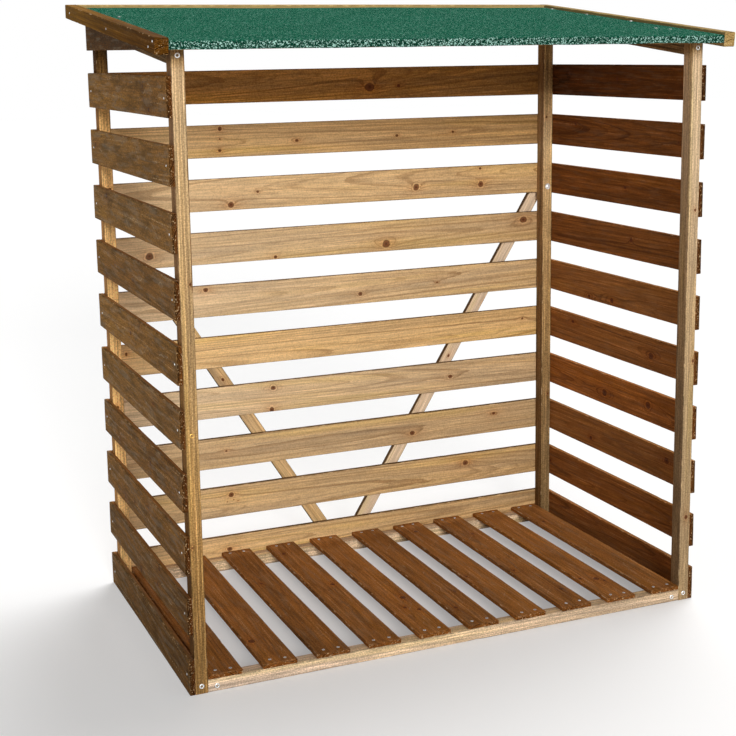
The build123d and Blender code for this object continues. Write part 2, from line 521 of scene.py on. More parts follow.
@dataclass(frozen=True)
class TimberFinish:
    """One kind of sawn softwood. Colours are display colours from 0 to 255."""

    name: str
    early: Colour = (205, 165, 112)
    late: Colour = (168, 118, 66)
    branch: Colour = (92, 48, 26)
    outside: Colour = (255, 255, 255)
    narrow: Colour = (255, 255, 255)
    worn: Colour = (226, 196, 150)
    end_grain: Colour = (188, 176, 164)
    ring: float = 0.0042
    contrast: float = 0.55
    crisp: float = 1.0
    blotch: float = 0.45
    sawn: float = 0.25
    grime: float = 0.15
    wander: float = 1.0

    RELIEF: ClassVar[float] = 0.0004
    BUMP_STRENGTH: ClassVar[float] = 0.8
    SHEEN: ClassVar[float] = 0.02

    def material(self, groups: WoodGroups) -> bpy.types.Material:
        """Build the finish.

        Args:
            groups: the shared node groups.

        Returns:
            The new material.
        """
        g = Coat(self.name)
        values: dict[str, object] = {"Place": g.place}
        for name in ("Tree", "Edge", "Side", "Tone", *knot_names("Knot ")):
            values[name] = g.attribute(name.lower().replace(" ", "_"))
        for name in WOOD_COLOURS:
            values[name] = linear(getattr(self, name.lower().replace(" ", "_")))
        for name in WOOD_NUMBERS:
            values[name] = getattr(self, name.lower())
        look = g.group(groups.timber, values)
        return g.dress(
            look["Height"], self.RELIEF, self.BUMP_STRENGTH, Base_Color=look["Colour"],
            Roughness=look["Roughness"], Specular_IOR_Level=self.SHEEN,
        )


@dataclass(frozen=True)
class MetalFinish:
    """Plated or bare steel of the fasteners."""

    name: str
    colour: Colour
    dirt: Colour
    roughness: float
    dullness: float = 0.0

    RELIEF: ClassVar[float] = 0.0001
    SOIL_SHADE: ClassVar[float] = 0.12

    def material(self) -> bpy.types.Material:
        """Build the finish: clear metal with duller spots, and the soil mark dark and dull: painted
        shade in the recesses, and a dark rim.

        Returns:
            The new material.
        """
        g = Coat(self.name)
        dirt = linear(self.dirt)
        # The soil mark paints shade in the recesses and a dark rim round the head
        soil = g.split(g.attribute("soil"))[0]
        spots = g.remap(g.noise(g.place, 900.0, 3.0), 0.45, 0.70)
        colour = g.blend(spots, linear(self.colour), dirt)
        spoilt = g.math("MAXIMUM", spots * 0.4 + self.dullness, soil)
        return g.dress(
            g.noise(g.place, 2500.0), self.RELIEF,
            Base_Color=g.blend(soil, colour, g.scaled(dirt, self.SOIL_SHADE)),
            Roughness=spots * 0.3 + self.roughness, Metallic=1.0 - g.math("MINIMUM", spoilt, 1.0),
        )


@dataclass(frozen=True)
class FeltFinish:
    """Mineral roofing felt: small coloured granules pressed into bitumen, in loose clumps."""

    name: str
    granule: Colour = (43, 115, 88)
    # Pale granules, partly real and partly painted glints in place of gloss
    pale: Colour = (176, 222, 208)
    dark: Colour = (4, 58, 44)
    grain: float = 0.0021
    relief: float = 0.0006

    def material(self) -> bpy.types.Material:
        """Build the finish: cells of granule size, each with its own tint, with painted shade and
        glints on the turned-down lip.

        Returns:
            The new material.
        """
        g = Coat(self.name)
        dark = linear(self.dark)
        cells = g.node("TexVoronoi", g.place, None, 1.0 / self.grain, feature="F1")
        distance = Value(g, cells.outputs["Distance"])
        pick = g.split(Value(g, cells.outputs["Color"]))[0]
        fold = g.split(g.attribute("fold"))[0]
        # The fold mark adds pale specks on the turned-down lip as painted glints
        bright = pick + (g.noise(g.place, 290.0, 2.0, 0.6) - 0.5) * 0.9 + fold * 0.20
        colour = g.blend(g.remap(bright, 0.40, 0.0), linear(self.granule), dark)
        colour = g.blend(g.remap(distance, 0.35, 0.75), colour, dark)
        worn = g.noise(g.place, 7.0, 4.0)
        # The fold mark also darkens the lip as painted shade
        colour = g.scaled(colour, ((worn - 0.5) * 0.35 + 1.0) * (1.0 - fold * 0.60))
        colour = g.blend(g.remap(bright, 0.77, 1.25), colour, linear(self.pale))
        return g.dress(
            pick * 0.6 + 1.0 - distance, self.relief, Base_Color=colour,
            Roughness=pick * 0.2 + 0.75, Specular_IOR_Level=0.0,
        )


# ---- Meshes ----


@dataclass
class Surface:
    """Arrays of one closed surface: corners, faces of four and of three, and attributes."""

    points: Array
    quads: Array
    triangles: Array
    marks: dict[str, Array]

    @staticmethod
    def joined(parts: list[Surface]) -> Surface:
        """All parts as one surface, with each part's face numbers moved on.

        Args:
            parts: surfaces with the same attributes.

        Returns:
            The one surface.
        """
        starts = np.cumsum([0] + [len(part.points) for part in parts[:-1]])
        return Surface(
            np.concatenate([part.points for part in parts]),
            np.concatenate([part.quads + start for part, start in zip(parts, starts)]),
            np.concatenate([part.triangles + start for part, start in zip(parts, starts)]),
            {name: np.concatenate([part.marks[name] for part in parts]) for name in parts[0].marks},
        )

    def piece(self, name: str, material: bpy.types.Material) -> bpy.types.Object:
        """Put the surface into the scene as a smooth object that rides on the store.

        Args:
            name: name of the new object.
            material: its one finish.

        Returns:
            The new object.
        """
        mesh = bpy.data.meshes.new(name)
        corners = np.concatenate([self.quads.ravel(), self.triangles.ravel()]).astype(np.int32)
        sizes = np.repeat([4, 3], [len(self.quads), len(self.triangles)])
        mesh.vertices.add(len(self.points))
        mesh.vertices.foreach_set("co", self.points.astype(np.float32).ravel())
        mesh.loops.add(len(corners))
        mesh.loops.foreach_set("vertex_index", corners)
        mesh.polygons.add(len(sizes))
        mesh.polygons.foreach_set("loop_start", (np.cumsum(sizes) - sizes).astype(np.int32))
        mesh.polygons.foreach_set("use_smooth", np.ones(len(sizes), bool))
        mesh.update(calc_edges=True)
        for label, values in self.marks.items():
            mark = mesh.attributes.new(label, "FLOAT_VECTOR", "POINT")
            mark.data.foreach_set("vector", values.astype(np.float32).ravel())
        mesh.materials.append(material)
        made = placed(name, mesh)
        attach(made, BODY)
        LOG.info("%s: %d points, %d faces", name, len(self.points), len(sizes))
        return made


def placed(name: str, data: bpy.types.ID) -> bpy.types.Object:
    """Put a new object into the scene.

    Args:
        name: name of the object.
        data: its mesh, light or camera.

    Returns:
        The object.
    """
    made = bpy.data.objects.new(name, data)
    bpy.context.scene.collection.objects.link(made)
    return made


def grid_quads(rows: int, columns: int, closed: bool = False) -> Array:
    """Faces of four between points that are numbered row by row.

    Args:
        rows: number of rows.
        columns: number of points in each row.
        closed: whether each row is a ring.

    Returns:
        Four point numbers for each face.
    """
    spots = np.arange(columns if closed else columns - 1)
    row, spot = np.meshgrid(np.arange(rows - 1), spots, indexing="ij")
    start, after = row * columns + spot, row * columns + (spot + 1) % columns
    return np.stack([start, after, after + columns, start + columns], axis=-1).reshape(-1, 4)


def tube_faces(rows: int, around: int, flipped: bool = False) -> tuple[Array, Array]:
    """Faces of a closed tube of rings with a pole at each end.

    The rings come first, row by row, then the first pole and the last pole.

    Args:
        rows: number of rings.
        around: number of points in each ring.
        flipped: whether the rings run the other way round.

    Returns:
        The faces of four between rings, and the faces of three at the poles.
    """
    spots = np.arange(around)
    afters, last_ring, pole = (spots + 1) % around, (rows - 1) * around, np.full(around, rows * around)
    start = np.stack([afters, spots, pole], axis=-1)
    end = np.stack([last_ring + spots, last_ring + afters, pole + 1], axis=-1)
    step = -1 if flipped else 1
    return grid_quads(rows, around, True)[:, ::step], np.concatenate([start, end])[:, ::step]


# ---- Timbers ----


@dataclass(frozen=True)
class Knot:
    """A branch cut through, placed from the timber's start and its lower long edge."""

    along: float
    across: float
    radius: float = 0.006


@dataclass(frozen=True)
class Growth:
    """Where the pith of the tree lay, seen from the middle of the timber's section.

    The drifts say how far the pith moves sideways for each metre along.
    """

    across: float = 0.012
    through: float = -0.055
    drift_across: float = 0.006
    drift_through: float = 0.012


@dataclass(frozen=True)
class Tone:
    """Light and hue of a timber against its finish, its figure, and how deep its stain is; on some
    timbers the light and depth are painted shade.

    A timber with several tones has each of them at its share of the length.
    """

    light: float = 1.0
    warm: float = 0.0
    streaks: float = 1.0
    depth: float = 1.0
    at: float = 0.0

    def far(self, share: float, depth: float) -> Tone:
        """The same tone for the far end, its light times a share and its stain deeper, which can paint
        shade.
        """
        return replace(self, light=self.light * share, depth=self.depth * depth, at=1.0)


@dataclass(frozen=True)
class Cut:
    """A saw cut across a timber: its distance along, and how it leans across and through."""

    at: float
    per_across: float = 0.0
    per_through: float = 0.0

    def reach(self, b: Array, c: Array) -> Array:
        """Where the cut crosses the line along through each point."""
        return self.at + self.per_across * b + self.per_through * c


def rows(kind: type, *entries: tuple[float, ...]) -> tuple:
    """Several knots or tones, one from each row of numbers."""
    return tuple(kind(*entry) for entry in entries)


@dataclass
class Timber:
    """One sawn length of wood on its own three axes.

    A point of its surface is corner + s along + b across + c through. The section is a
    rectangle with rounded corners, carried along s between the start cuts and the end
    cuts, then bent a little: the bow moves c and the crook moves b by a parabola in s, the
    cup moves c by a parabola in b, and the twist turns the section evenly along s.
    """

    corner: Array
    along: Array
    across: Array
    through: Array
    length: float
    width: float
    thickness: float
    seed: str
    start_cuts: tuple[Cut, ...] = (Cut(0.0),)
    end_cuts: tuple[Cut, ...] = ()
    widens_along: float = 0.0
    widens_through: float = 0.0
    arris: float = 0.0018
    end_round: float = 0.0008
    step: float = 0.009
    bow: float = 0.0006
    crook: float = 0.0005
    cup: float = 0.0003
    twist: float = 0.004
    growth: Growth = Growth()
    tones: tuple[Tone, ...] = (Tone(),)
    # How strong the tint of the narrow faces is: painted shade, partly soil
    edge_stain: float = 1.0
    knots: tuple[Knot, ...] = ()

    ARC_POINTS: ClassVar[int] = 4
    WIDE: ClassVar[float] = 0.045
    MOST_RADIUS: ClassVar[float] = 0.42
    MOST_OF_WIDTH: ClassVar[float] = 0.3
    WIDE_SPOTS: ClassVar[tuple[float, ...]] = (0.04, 0.3, 0.5, 0.7, 0.96)
    NARROW_SPOTS: ClassVar[tuple[float, ...]] = (0.15, 0.5, 0.85)
    WAVES: ClassVar[tuple[tuple[float, float], ...]] = ((0.31, 0.12), (0.11, 0.08), (0.043, 0.06))

    def section(self) -> dict[str, Array]:
        """Points round the section, as shares of its sides and as outward directions.

        Four quarter circles, one at each corner, with spots on the straight sides between.

        Returns:
            For each point: its share across and through, its outward direction, its
            corner number, and how much it belongs to a rounded corner.
        """
        corners = np.array([[1.0, 1.0], [0.0, 1.0], [0.0, 0.0], [1.0, 0.0]])
        parts = []
        for number, here in enumerate(corners):
            turn = np.radians(90.0 * number + np.linspace(0.0, 90.0, self.ARC_POINTS))
            side = self.thickness if number % 2 else self.width
            spots = self.WIDE_SPOTS if side > self.WIDE else self.NARROW_SPOTS
            go = np.append(0 * turn, spots)[:, None]
            facing = np.append(turn, np.full(len(spots), turn[-1]))
            arris = np.append(0.45 + 0.55 * np.sin(2.0 * (turn - turn[0])), np.zeros(len(spots)))
            parts.append(np.column_stack([
                here * (1.0 - go) + corners[(number + 1) % 4] * go,
                np.round(np.cos(facing), 9), np.round(np.sin(facing), 9), 0 * arris + number, arris,
            ]))
        names = ("across", "through", "out_across", "out_through", "corner", "arris")
        return dict(zip(names, np.concatenate(parts).T))

    def rings(self) -> dict[str, Array]:
        """Rings along the timber: share of the length, extra shift, inset, shrink and cut.

        Returns:
            One value of each kind for each ring, from the start cap to the end cap.
        """
        e = self.end_round
        ends = np.array([
            (0.0, e, 0.4, 1.0), (0.0, e, 0.75, 1.0), (0.0, e, 0.94, 1.0), (0.0, e, 1.0, 0.7),
            (0.3 * e, 0.3 * e, 1.0, 0.4), (e, 0.0, 1.0, 0.0), (4 * e, 0.0, 1.0, 0.0),
        ])
        count = max(4, round(self.length / self.step))
        shares = np.arange(1, count) / count
        body = np.tile([0.0, 0.0, 1.0, 0.0], (len(shares), 1))
        table = np.concatenate([ends, body, ends[::-1] * np.array([-1, 1, 1, 1])])
        share = np.concatenate([np.zeros(len(ends)), shares, np.ones(len(ends))])
        return dict(zip(("share", "shift", "inset", "shrink", "cut"), (share, *table.T)))

    def corner_radii(self, s: Array, corner: Array, chance: np.random.Generator) -> Array:
        """Radius of each corner along the timber: soft waves, and now and then a knock.

        Args:
            s: distance along for each ring.
            corner: corner number for each point round the section.
            chance: source of the random draws.

        Returns:
            A radius for each ring and each point.
        """
        phases = chance.uniform(0.0, math.tau, (3, 4))
        radius = np.ones((len(s), 4))
        for phase, (wavelength, height) in zip(phases, self.WAVES):
            radius += height * np.sin(math.tau * s[:, None] / wavelength + phase)
        for _ in range(int(chance.integers(1, 4))):
            at, spread = chance.uniform(0.0, self.length), chance.uniform(0.004, 0.014)
            depth, number = chance.uniform(0.4, 1.1), int(chance.integers(0, 4))
            radius[:, number] += depth * np.exp(-(((s - at) / spread) ** 2))
        return (self.arris * radius)[:, corner.astype(int)]

    def surface(self) -> Surface:
        """Work out the whole surface and its attributes.

        Returns:
            The closed surface.
        """
        chance = draws(self.seed)
        sec, ring = self.section(), self.rings()
        nominal = ring["share"] * self.length + ring["shift"]
        inset, shrink = ring["inset"][:, None], ring["shrink"][:, None]
        radius = self.corner_radii(nominal, sec["corner"], chance)
        radius = np.minimum(radius, self.MOST_RADIUS * min(self.width, self.thickness))
        c = radius + sec["through"] * (self.thickness - 2 * radius)
        c = c + sec["out_through"] * (radius - inset)
        width = self.width + self.widens_along * nominal[:, None] + self.widens_through * c
        radius = np.minimum(radius, self.MOST_OF_WIDTH * width)
        b = radius + sec["across"] * (width - 2 * radius) + sec["out_across"] * (radius - inset)
        b = width / 2 + (b - width / 2) * shrink
        c = self.thickness / 2 + (c - self.thickness / 2) * shrink
        first = np.max([cut.reach(b, c) for cut in self.start_cuts], axis=0)
        last = np.min([cut.reach(b, c) for cut in self.end_cuts or (Cut(self.length),)], axis=0)
        s = first + (last - first) * ring["share"][:, None] + ring["shift"][:, None]
        marks = self.marks(s, b, c, sec, ring, chance.uniform(3.0, 60.0))
        marks = {name: self.closed(values) for name, values in marks.items()}
        s, b, c = (self.closed(values) for values in (s, b, c))
        b, c = self.bent(s, b, c, chance)
        points = (
            self.corner
            + s[:, None] * self.along + b[:, None] * self.across + c[:, None] * self.through
        )
        left_handed = float(np.dot(np.cross(self.across, self.through), self.along)) < 0.0
        return Surface(points, *tube_faces(len(nominal), len(sec["corner"]), left_handed), marks)

    @staticmethod
    def closed(values: Array) -> Array:
        """Rings in one row, then the mean of the first ring and of the last as the poles."""
        flat = values.reshape(-1, *values.shape[2:])
        return np.concatenate([flat, values[0].mean(axis=0)[None], values[-1].mean(axis=0)[None]])

    def bent(self, s: Array, b: Array, c: Array, chance: np.random.Generator) -> tuple[Array, Array]:
        """Bow, crook, cup and twist of the straight timber.

        Args:
            s, b, c: distances along, across and through for each point.
            chance: source of the random draws.

        Returns:
            The bent distances across and through.
        """
        share = 2.0 * s / self.length - 1.0
        arch = 1.0 - share**2
        signs = chance.choice([-1.0, 1.0], 4) * chance.uniform(0.3, 1.0, 4)
        lean = 2.0 * b / max(self.width, 1e-6) - 1.0
        turn = self.twist * signs[3] * share
        b_bent = b + self.crook * signs[1] * arch - turn * (c - self.thickness / 2)
        c_bent = c + self.bow * signs[0] * arch + self.cup * signs[2] * (lean**2 - 0.33)
        return b_bent, c_bent + turn * (b - self.width / 2)

    def marks(
        self, s: Array, b: Array, c: Array, sec: dict[str, Array], ring: dict[str, Array],
        shift: float,
    ) -> dict[str, Array]:
        """Attributes for the finish: place in the tree, edges, side, tone and knots.

        Args:
            s, b, c: distances along, across and through for each ring and point.
            sec: the section's points.
            ring: the rings along.
            shift: how far up the tree the timber starts.

        Returns:
            Arrays of ring by point by three numbers.
        """
        def stacked(*parts: object) -> Array:
            """Three values for each ring and point."""
            return np.stack([np.broadcast_to(part, s.shape) for part in parts], axis=-1)

        arris = np.maximum(sec["arris"], (ring["inset"] > 0.0)[:, None] * 0.8)
        arris = arris * (ring["shrink"][:, None] >= 1.0)
        stops = [tone.at for tone in self.tones]
        light, warm, streaks, depth = (
            np.interp(s / self.length, stops, [getattr(tone, name) for tone in self.tones])
            for name in ("light", "warm", "streaks", "depth")
        )
        found = {
            "tree": stacked(*self.in_tree(s, b, c, shift)),
            "edge": stacked(arris, ring["cut"][:, None], c / self.thickness),
            # The side's second number marks the narrow faces for painted shade, partly soil
            "side": stacked(b / self.width, self.edge_stain * sec["out_across"] ** 2, depth),
            "tone": stacked(light, warm, streaks),
        }
        for number, name in enumerate(knot_names("knot_")):
            row = (0.0, 0.0, 0.0)
            if number < len(self.knots):
                knot = self.knots[number]
                up, side, deep = self.in_tree(knot.along, knot.across, self.thickness, shift)
                row = (up, math.atan2(deep, side), knot.radius)
            found[name] = stacked(*row)
        return found

    def in_tree(self, s: Array, b: Array, c: Array, shift: float) -> tuple[Array, Array, Array]:
        """Place in the tree.

        Args:
            s, b, c: distances along, across and through.
            shift: how far up the tree the timber starts.

        Returns:
            The way up the trunk, and the two ways out from the pith.
        """
        middle = s - self.length / 2
        side = b - self.width / 2 - self.growth.across - self.growth.drift_across * middle
        deep = c - self.thickness / 2 - self.growth.through - self.growth.drift_through * middle
        return s + shift, side, deep


def timber_in_box(
    low: Vector, high: Vector, along: Array, across: Array, through: Array, **details: object
) -> Timber:
    """A timber that fills a box.

    Args:
        low: lowest corner of the box.
        high: highest corner of the box.
        along: direction of the grain.
        across: direction of the width.
        through: direction of the thickness, towards the face that is cut last.
        details: further fields of the timber.

    Returns:
        The timber, with its corner where all three directions start.
    """
    ways = (along, across, through)
    low, high = np.array(low[:]), np.array(high[:])
    corner = np.where(along + across + through < 0, high, low)
    return Timber(corner, *ways, *(float(np.abs(way) @ (high - low)) for way in ways), **details)


@dataclass(frozen=True)
class RoofPlane:
    """The sloping underside of the deck: its height is rise times y, plus base."""

    rise: float
    base: float

    @classmethod
    def over_posts(cls) -> RoofPlane:
        """The plane through the highest edges of a front and a back post.

        Returns:
            That plane.
        """
        front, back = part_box("front_left_post")[1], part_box("back_left_post")[1]
        rise = (back.z - front.z) / (back.y - front.y)
        return cls(rise, front.z - rise * front.y)

    @property
    def angle(self) -> float:
        """Slope in radians."""
        return math.atan(self.rise)

    @property
    def uphill(self) -> Array:
        """Direction up the slope, towards the back."""
        return np.array([0.0, math.cos(self.angle), math.sin(self.angle)])

    @property
    def outward(self) -> Array:
        """Direction square to the roof, towards the sky."""
        return np.array([0.0, -math.sin(self.angle), math.cos(self.angle)])

    def height(self, y: float) -> float:
        """Height of the deck's underside at depth y."""
        return self.rise * y + self.base

    def slab(self, node: str) -> tuple[Array, tuple[float, float, float]]:
        """Place and size of a node that lies square on the slope.

        Args:
            node: name of the CAD node.

        Returns:
            Its left lower front corner, and its width, length up the slope and thickness.
        """
        low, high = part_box(node)
        steep, flat = math.sin(self.angle), math.cos(self.angle)
        spans = (high.y - low.y, high.z - low.z)
        length, thick = np.linalg.solve([[flat, steep], [steep, flat]], spans)
        return np.array([low.x, low.y + thick * steep, low.z]), (high.x - low.x, length, thick)


# ---- Assemblies ----


class Side(Enum):
    """The two sides of the store, with their signs along X."""

    LEFT = -1.0
    RIGHT = 1.0

    @property
    def word(self) -> str:
        """The side's name as the frame's nodes have it."""
        return self.name.lower()

    @property
    def out(self) -> Array:
        """Direction away from the middle of the store."""
        return X * self.value

    def outer(self, low: float, high: float) -> float:
        """Of two places along X, the one further out."""
        return high if self is Side.RIGHT else low


@dataclass
class Assembly:
    """A part of the store, whose pieces stand in for nodes of the frame."""

    frame: dict[str, object]
    roof: RoofPlane
    finishes: Finishes

    SLOT: ClassVar[str] = ""

    def add(self, node: str, *timbers: Timber, name: str = "") -> None:
        """Make one piece of some timbers in place of a node.

        Args:
            node: name of the CAD node.
            timbers: the timbers of the piece.
            name: name of the piece, if it isn't the node's with _timber after it.
        """
        surface = Surface.joined([timber.surface() for timber in timbers])
        made = surface.piece(name or f"{node}_timber", self.finishes[self.SLOT])
        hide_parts(node)

    def fill(self, node: str, *ways: Array, **details: object) -> None:
        """Make one timber that fills a node's box: its three directions and further fields."""
        self.add(node, timber_in_box(*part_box(node), *ways, seed=node, **details))


def some_knots(chance: np.random.Generator, *limits: tuple[float, float]) -> tuple[Knot, ...]:
    """One to three knots at random.

    Args:
        chance: source of the random draws.
        limits: lowest and highest value of each of a knot's numbers.

    Returns:
        The knots.
    """
    return tuple(
        Knot(*(chance.uniform(*limit) for limit in limits)) for _ in range(int(chance.integers(1, 4)))
    )


def middle(node: str) -> Array:
    """Middle of a node's box."""
    return np.mean([corner[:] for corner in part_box(node)], axis=0)


# ---- Frame ----


@dataclass(frozen=True)
class Post:
    """How one post differs: its tones from foot to head, whose last stops paint the roof's shade on its
    head, its knots, and how strong the painted shade on its side faces is.
    """

    place: str
    tones: tuple[Tone, ...]
    knots: tuple[Knot, ...]
    edge_stain: float = 1.0


@dataclass
class FramePosts(Assembly):
    """Four posts, sawn off along the underside of the roof."""

    # The dark last stops at each head are painted shade under the roof.
    posts: tuple[Post, ...] = (
        Post("front_left", rows(
            Tone, (0.66, 1.0, 1.0, 1.34), (0.57, 1.2, 1.0, 1.36, 0.17), (0.67, 1.1, 1.0, 1.28, 0.30),
            (0.85, 0.7, 1.0, 1.18, 0.42), (0.84, 0.3, 1.0, 1.10, 0.58), (1.11, 0.0, 1.0, 1.0, 0.965),
            (0.50, 0.8, 1.0, 1.2, 0.985),
        ), rows(Knot, (0.36, 0.006, 0.0025), (0.97, 0.025, 0.0025))),
        Post("front_right", rows(
            Tone, (0.60, -0.2, 0.6, 1.05), (0.63, -0.3, 0.6, 1.03, 0.31), (0.86, -0.4, 0.6, 1.05, 0.55),
            (0.92, -0.9, 0.6, 1.0, 0.72), (1.12, -1.5, 0.6, 0.98, 0.965), (0.60, 0.2, 1.0, 1.1, 0.985),
        ), rows(Knot, (0.233, 0.018, 0.0050), (0.661, 0.027, 0.0042), (1.059, 0.020, 0.0030)), 0.44),
        Post("back_left", rows(
            Tone, (1.62, 1.3, 0.6, 1.1), (1.55, 1.1, 0.6, 1.1, 0.78), (0.98, 1.1, 0.6, 1.25, 0.86),
            (0.42, 1.3, 0.8, 1.55, 0.94),
        ), rows(Knot, (0.52, 0.012, 0.0035), (1.12, 0.020, 0.004))),
        Post("back_right", rows(
            Tone, (0.52, 0.8, 0.8, 1.2), (0.66, 0.7, 0.8, 1.2, 0.42), (0.84, 0.5, 0.8, 1.12, 0.62),
            (1.08, 0.1, 0.8, 1.0, 0.80), (0.86, 0.4, 0.8, 1.3, 0.86), (0.70, 0.5, 0.8, 1.5, 1.0),
        ), rows(Knot, (0.41, 0.022, 0.003), (1.27, 0.010, 0.003)), 0.6),
    )

    SLOT: ClassVar[str] = "post_timber"

    def build(self) -> None:
        """Make each post, with its front face as the one that was sawn last."""
        for post in self.posts:
            node = f"{post.place}_post"
            low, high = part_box(node)
            head = Cut(self.roof.height(high.y) - low.z, per_through=-self.roof.rise)
            self.fill(
                node, Z, X, -Y, end_cuts=(head,), tones=post.tones, knots=post.knots, bow=0.0004,
                crook=0.0002, edge_stain=post.edge_stain, growth=Growth(0.048, -0.042, 0.004, 0.003),
            )


@dataclass
class TopRails(Assembly):
    """Two sloping rails between the posts, tight under the roof."""

    # The dark, deep tone paints the shade under the roof.
    tone: Tone = Tone(0.38, 1.4, 0.8, 1.45)

    SLOT: ClassVar[str] = "rail_timber"

    def build(self) -> None:
        """Make each rail, with upright cuts where it meets the posts."""
        rise, flat = self.roof.rise, math.cos(self.roof.angle)
        for side in Side:
            node = f"{side.word}_top_rail"
            low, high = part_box(node)
            depth = high.y - low.y
            self.add(node, Timber(
                np.array(low[:]), self.roof.uphill, X, self.roof.outward,
                depth / flat, high.x - low.x, (high.z - low.z - depth * rise) * flat, seed=node,
                start_cuts=(Cut(0.0, per_through=rise),), growth=Growth(0.03, 0.04),
                end_cuts=(Cut(depth / flat, per_through=rise),), tones=(self.tone,),
            ))


@dataclass
class FloorRails(Assembly):
    """Two rails on the ground, one between the front posts and one between the back posts."""

    tones: dict[str, tuple[Tone, ...]] = field(default_factory=lambda: {
        "front": rows(Tone, (0.97, -0.6), (0.82, 0.3, 1.0, 1.0, 1.0)),
        "back": rows(Tone, (0.85, 0.1), (0.80, 0.1, 1.0, 1.0, 1.0)),
    })

    SLOT: ClassVar[str] = "rail_timber"

    def build(self) -> None:
        """Make each rail."""
        for end, tones in self.tones.items():
            growth = Growth(0.045, 0.030)
            self.fill(f"{end}_floor_rail", X, Z, -Y, tones=tones, arris=0.0028, growth=growth)


@dataclass
class FloorBoards(Assembly):
    """The slatted floor: boards laid front to back over both rails."""

    tones: tuple[Tone, ...] = rows(
        Tone, (0.95, 0.30), (1.05, 0.10), (0.90, 0.25), (1.00, 0.00), (1.08, 0.20),
        (0.92, 0.10), (1.02, 0.30), (0.96, 0.05), (1.06, 0.25), (0.98, 0.15),
    )
    seed: int = 11

    SLOT: ClassVar[str] = "floor_timber"
    COUNT: ClassVar[int] = 10
    WIDTH: ClassVar[float] = 0.087

    @classmethod
    def spots(cls) -> list[float]:
        """Lower edge of each board along X, spaced evenly over the node's width."""
        low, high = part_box("floor_boards")
        return np.linspace(low.x, high.x - cls.WIDTH, cls.COUNT).tolist()

    def build(self) -> None:
        """Make all boards as one piece."""
        low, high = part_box("floor_boards")
        chance = np.random.default_rng(self.seed)
        boards = []
        for number, (x, tone) in enumerate(zip(self.spots(), self.tones)):
            knots = some_knots(chance, (0.1, 0.7), (0.01, 0.077), (0.003, 0.009))
            boards.append(timber_in_box(
                Vector((x, low.y, low.z)), Vector((x + self.WIDTH, high.y, high.z)), Y, X, Z,
                seed=f"floor {number}", arris=0.0024, tones=(tone,), knots=knots,
                growth=Growth(chance.uniform(-0.02, 0.02), chance.uniform(-0.09, -0.04)),
            ))
        self.add("floor_boards", *boards)


# ---- Walls ----


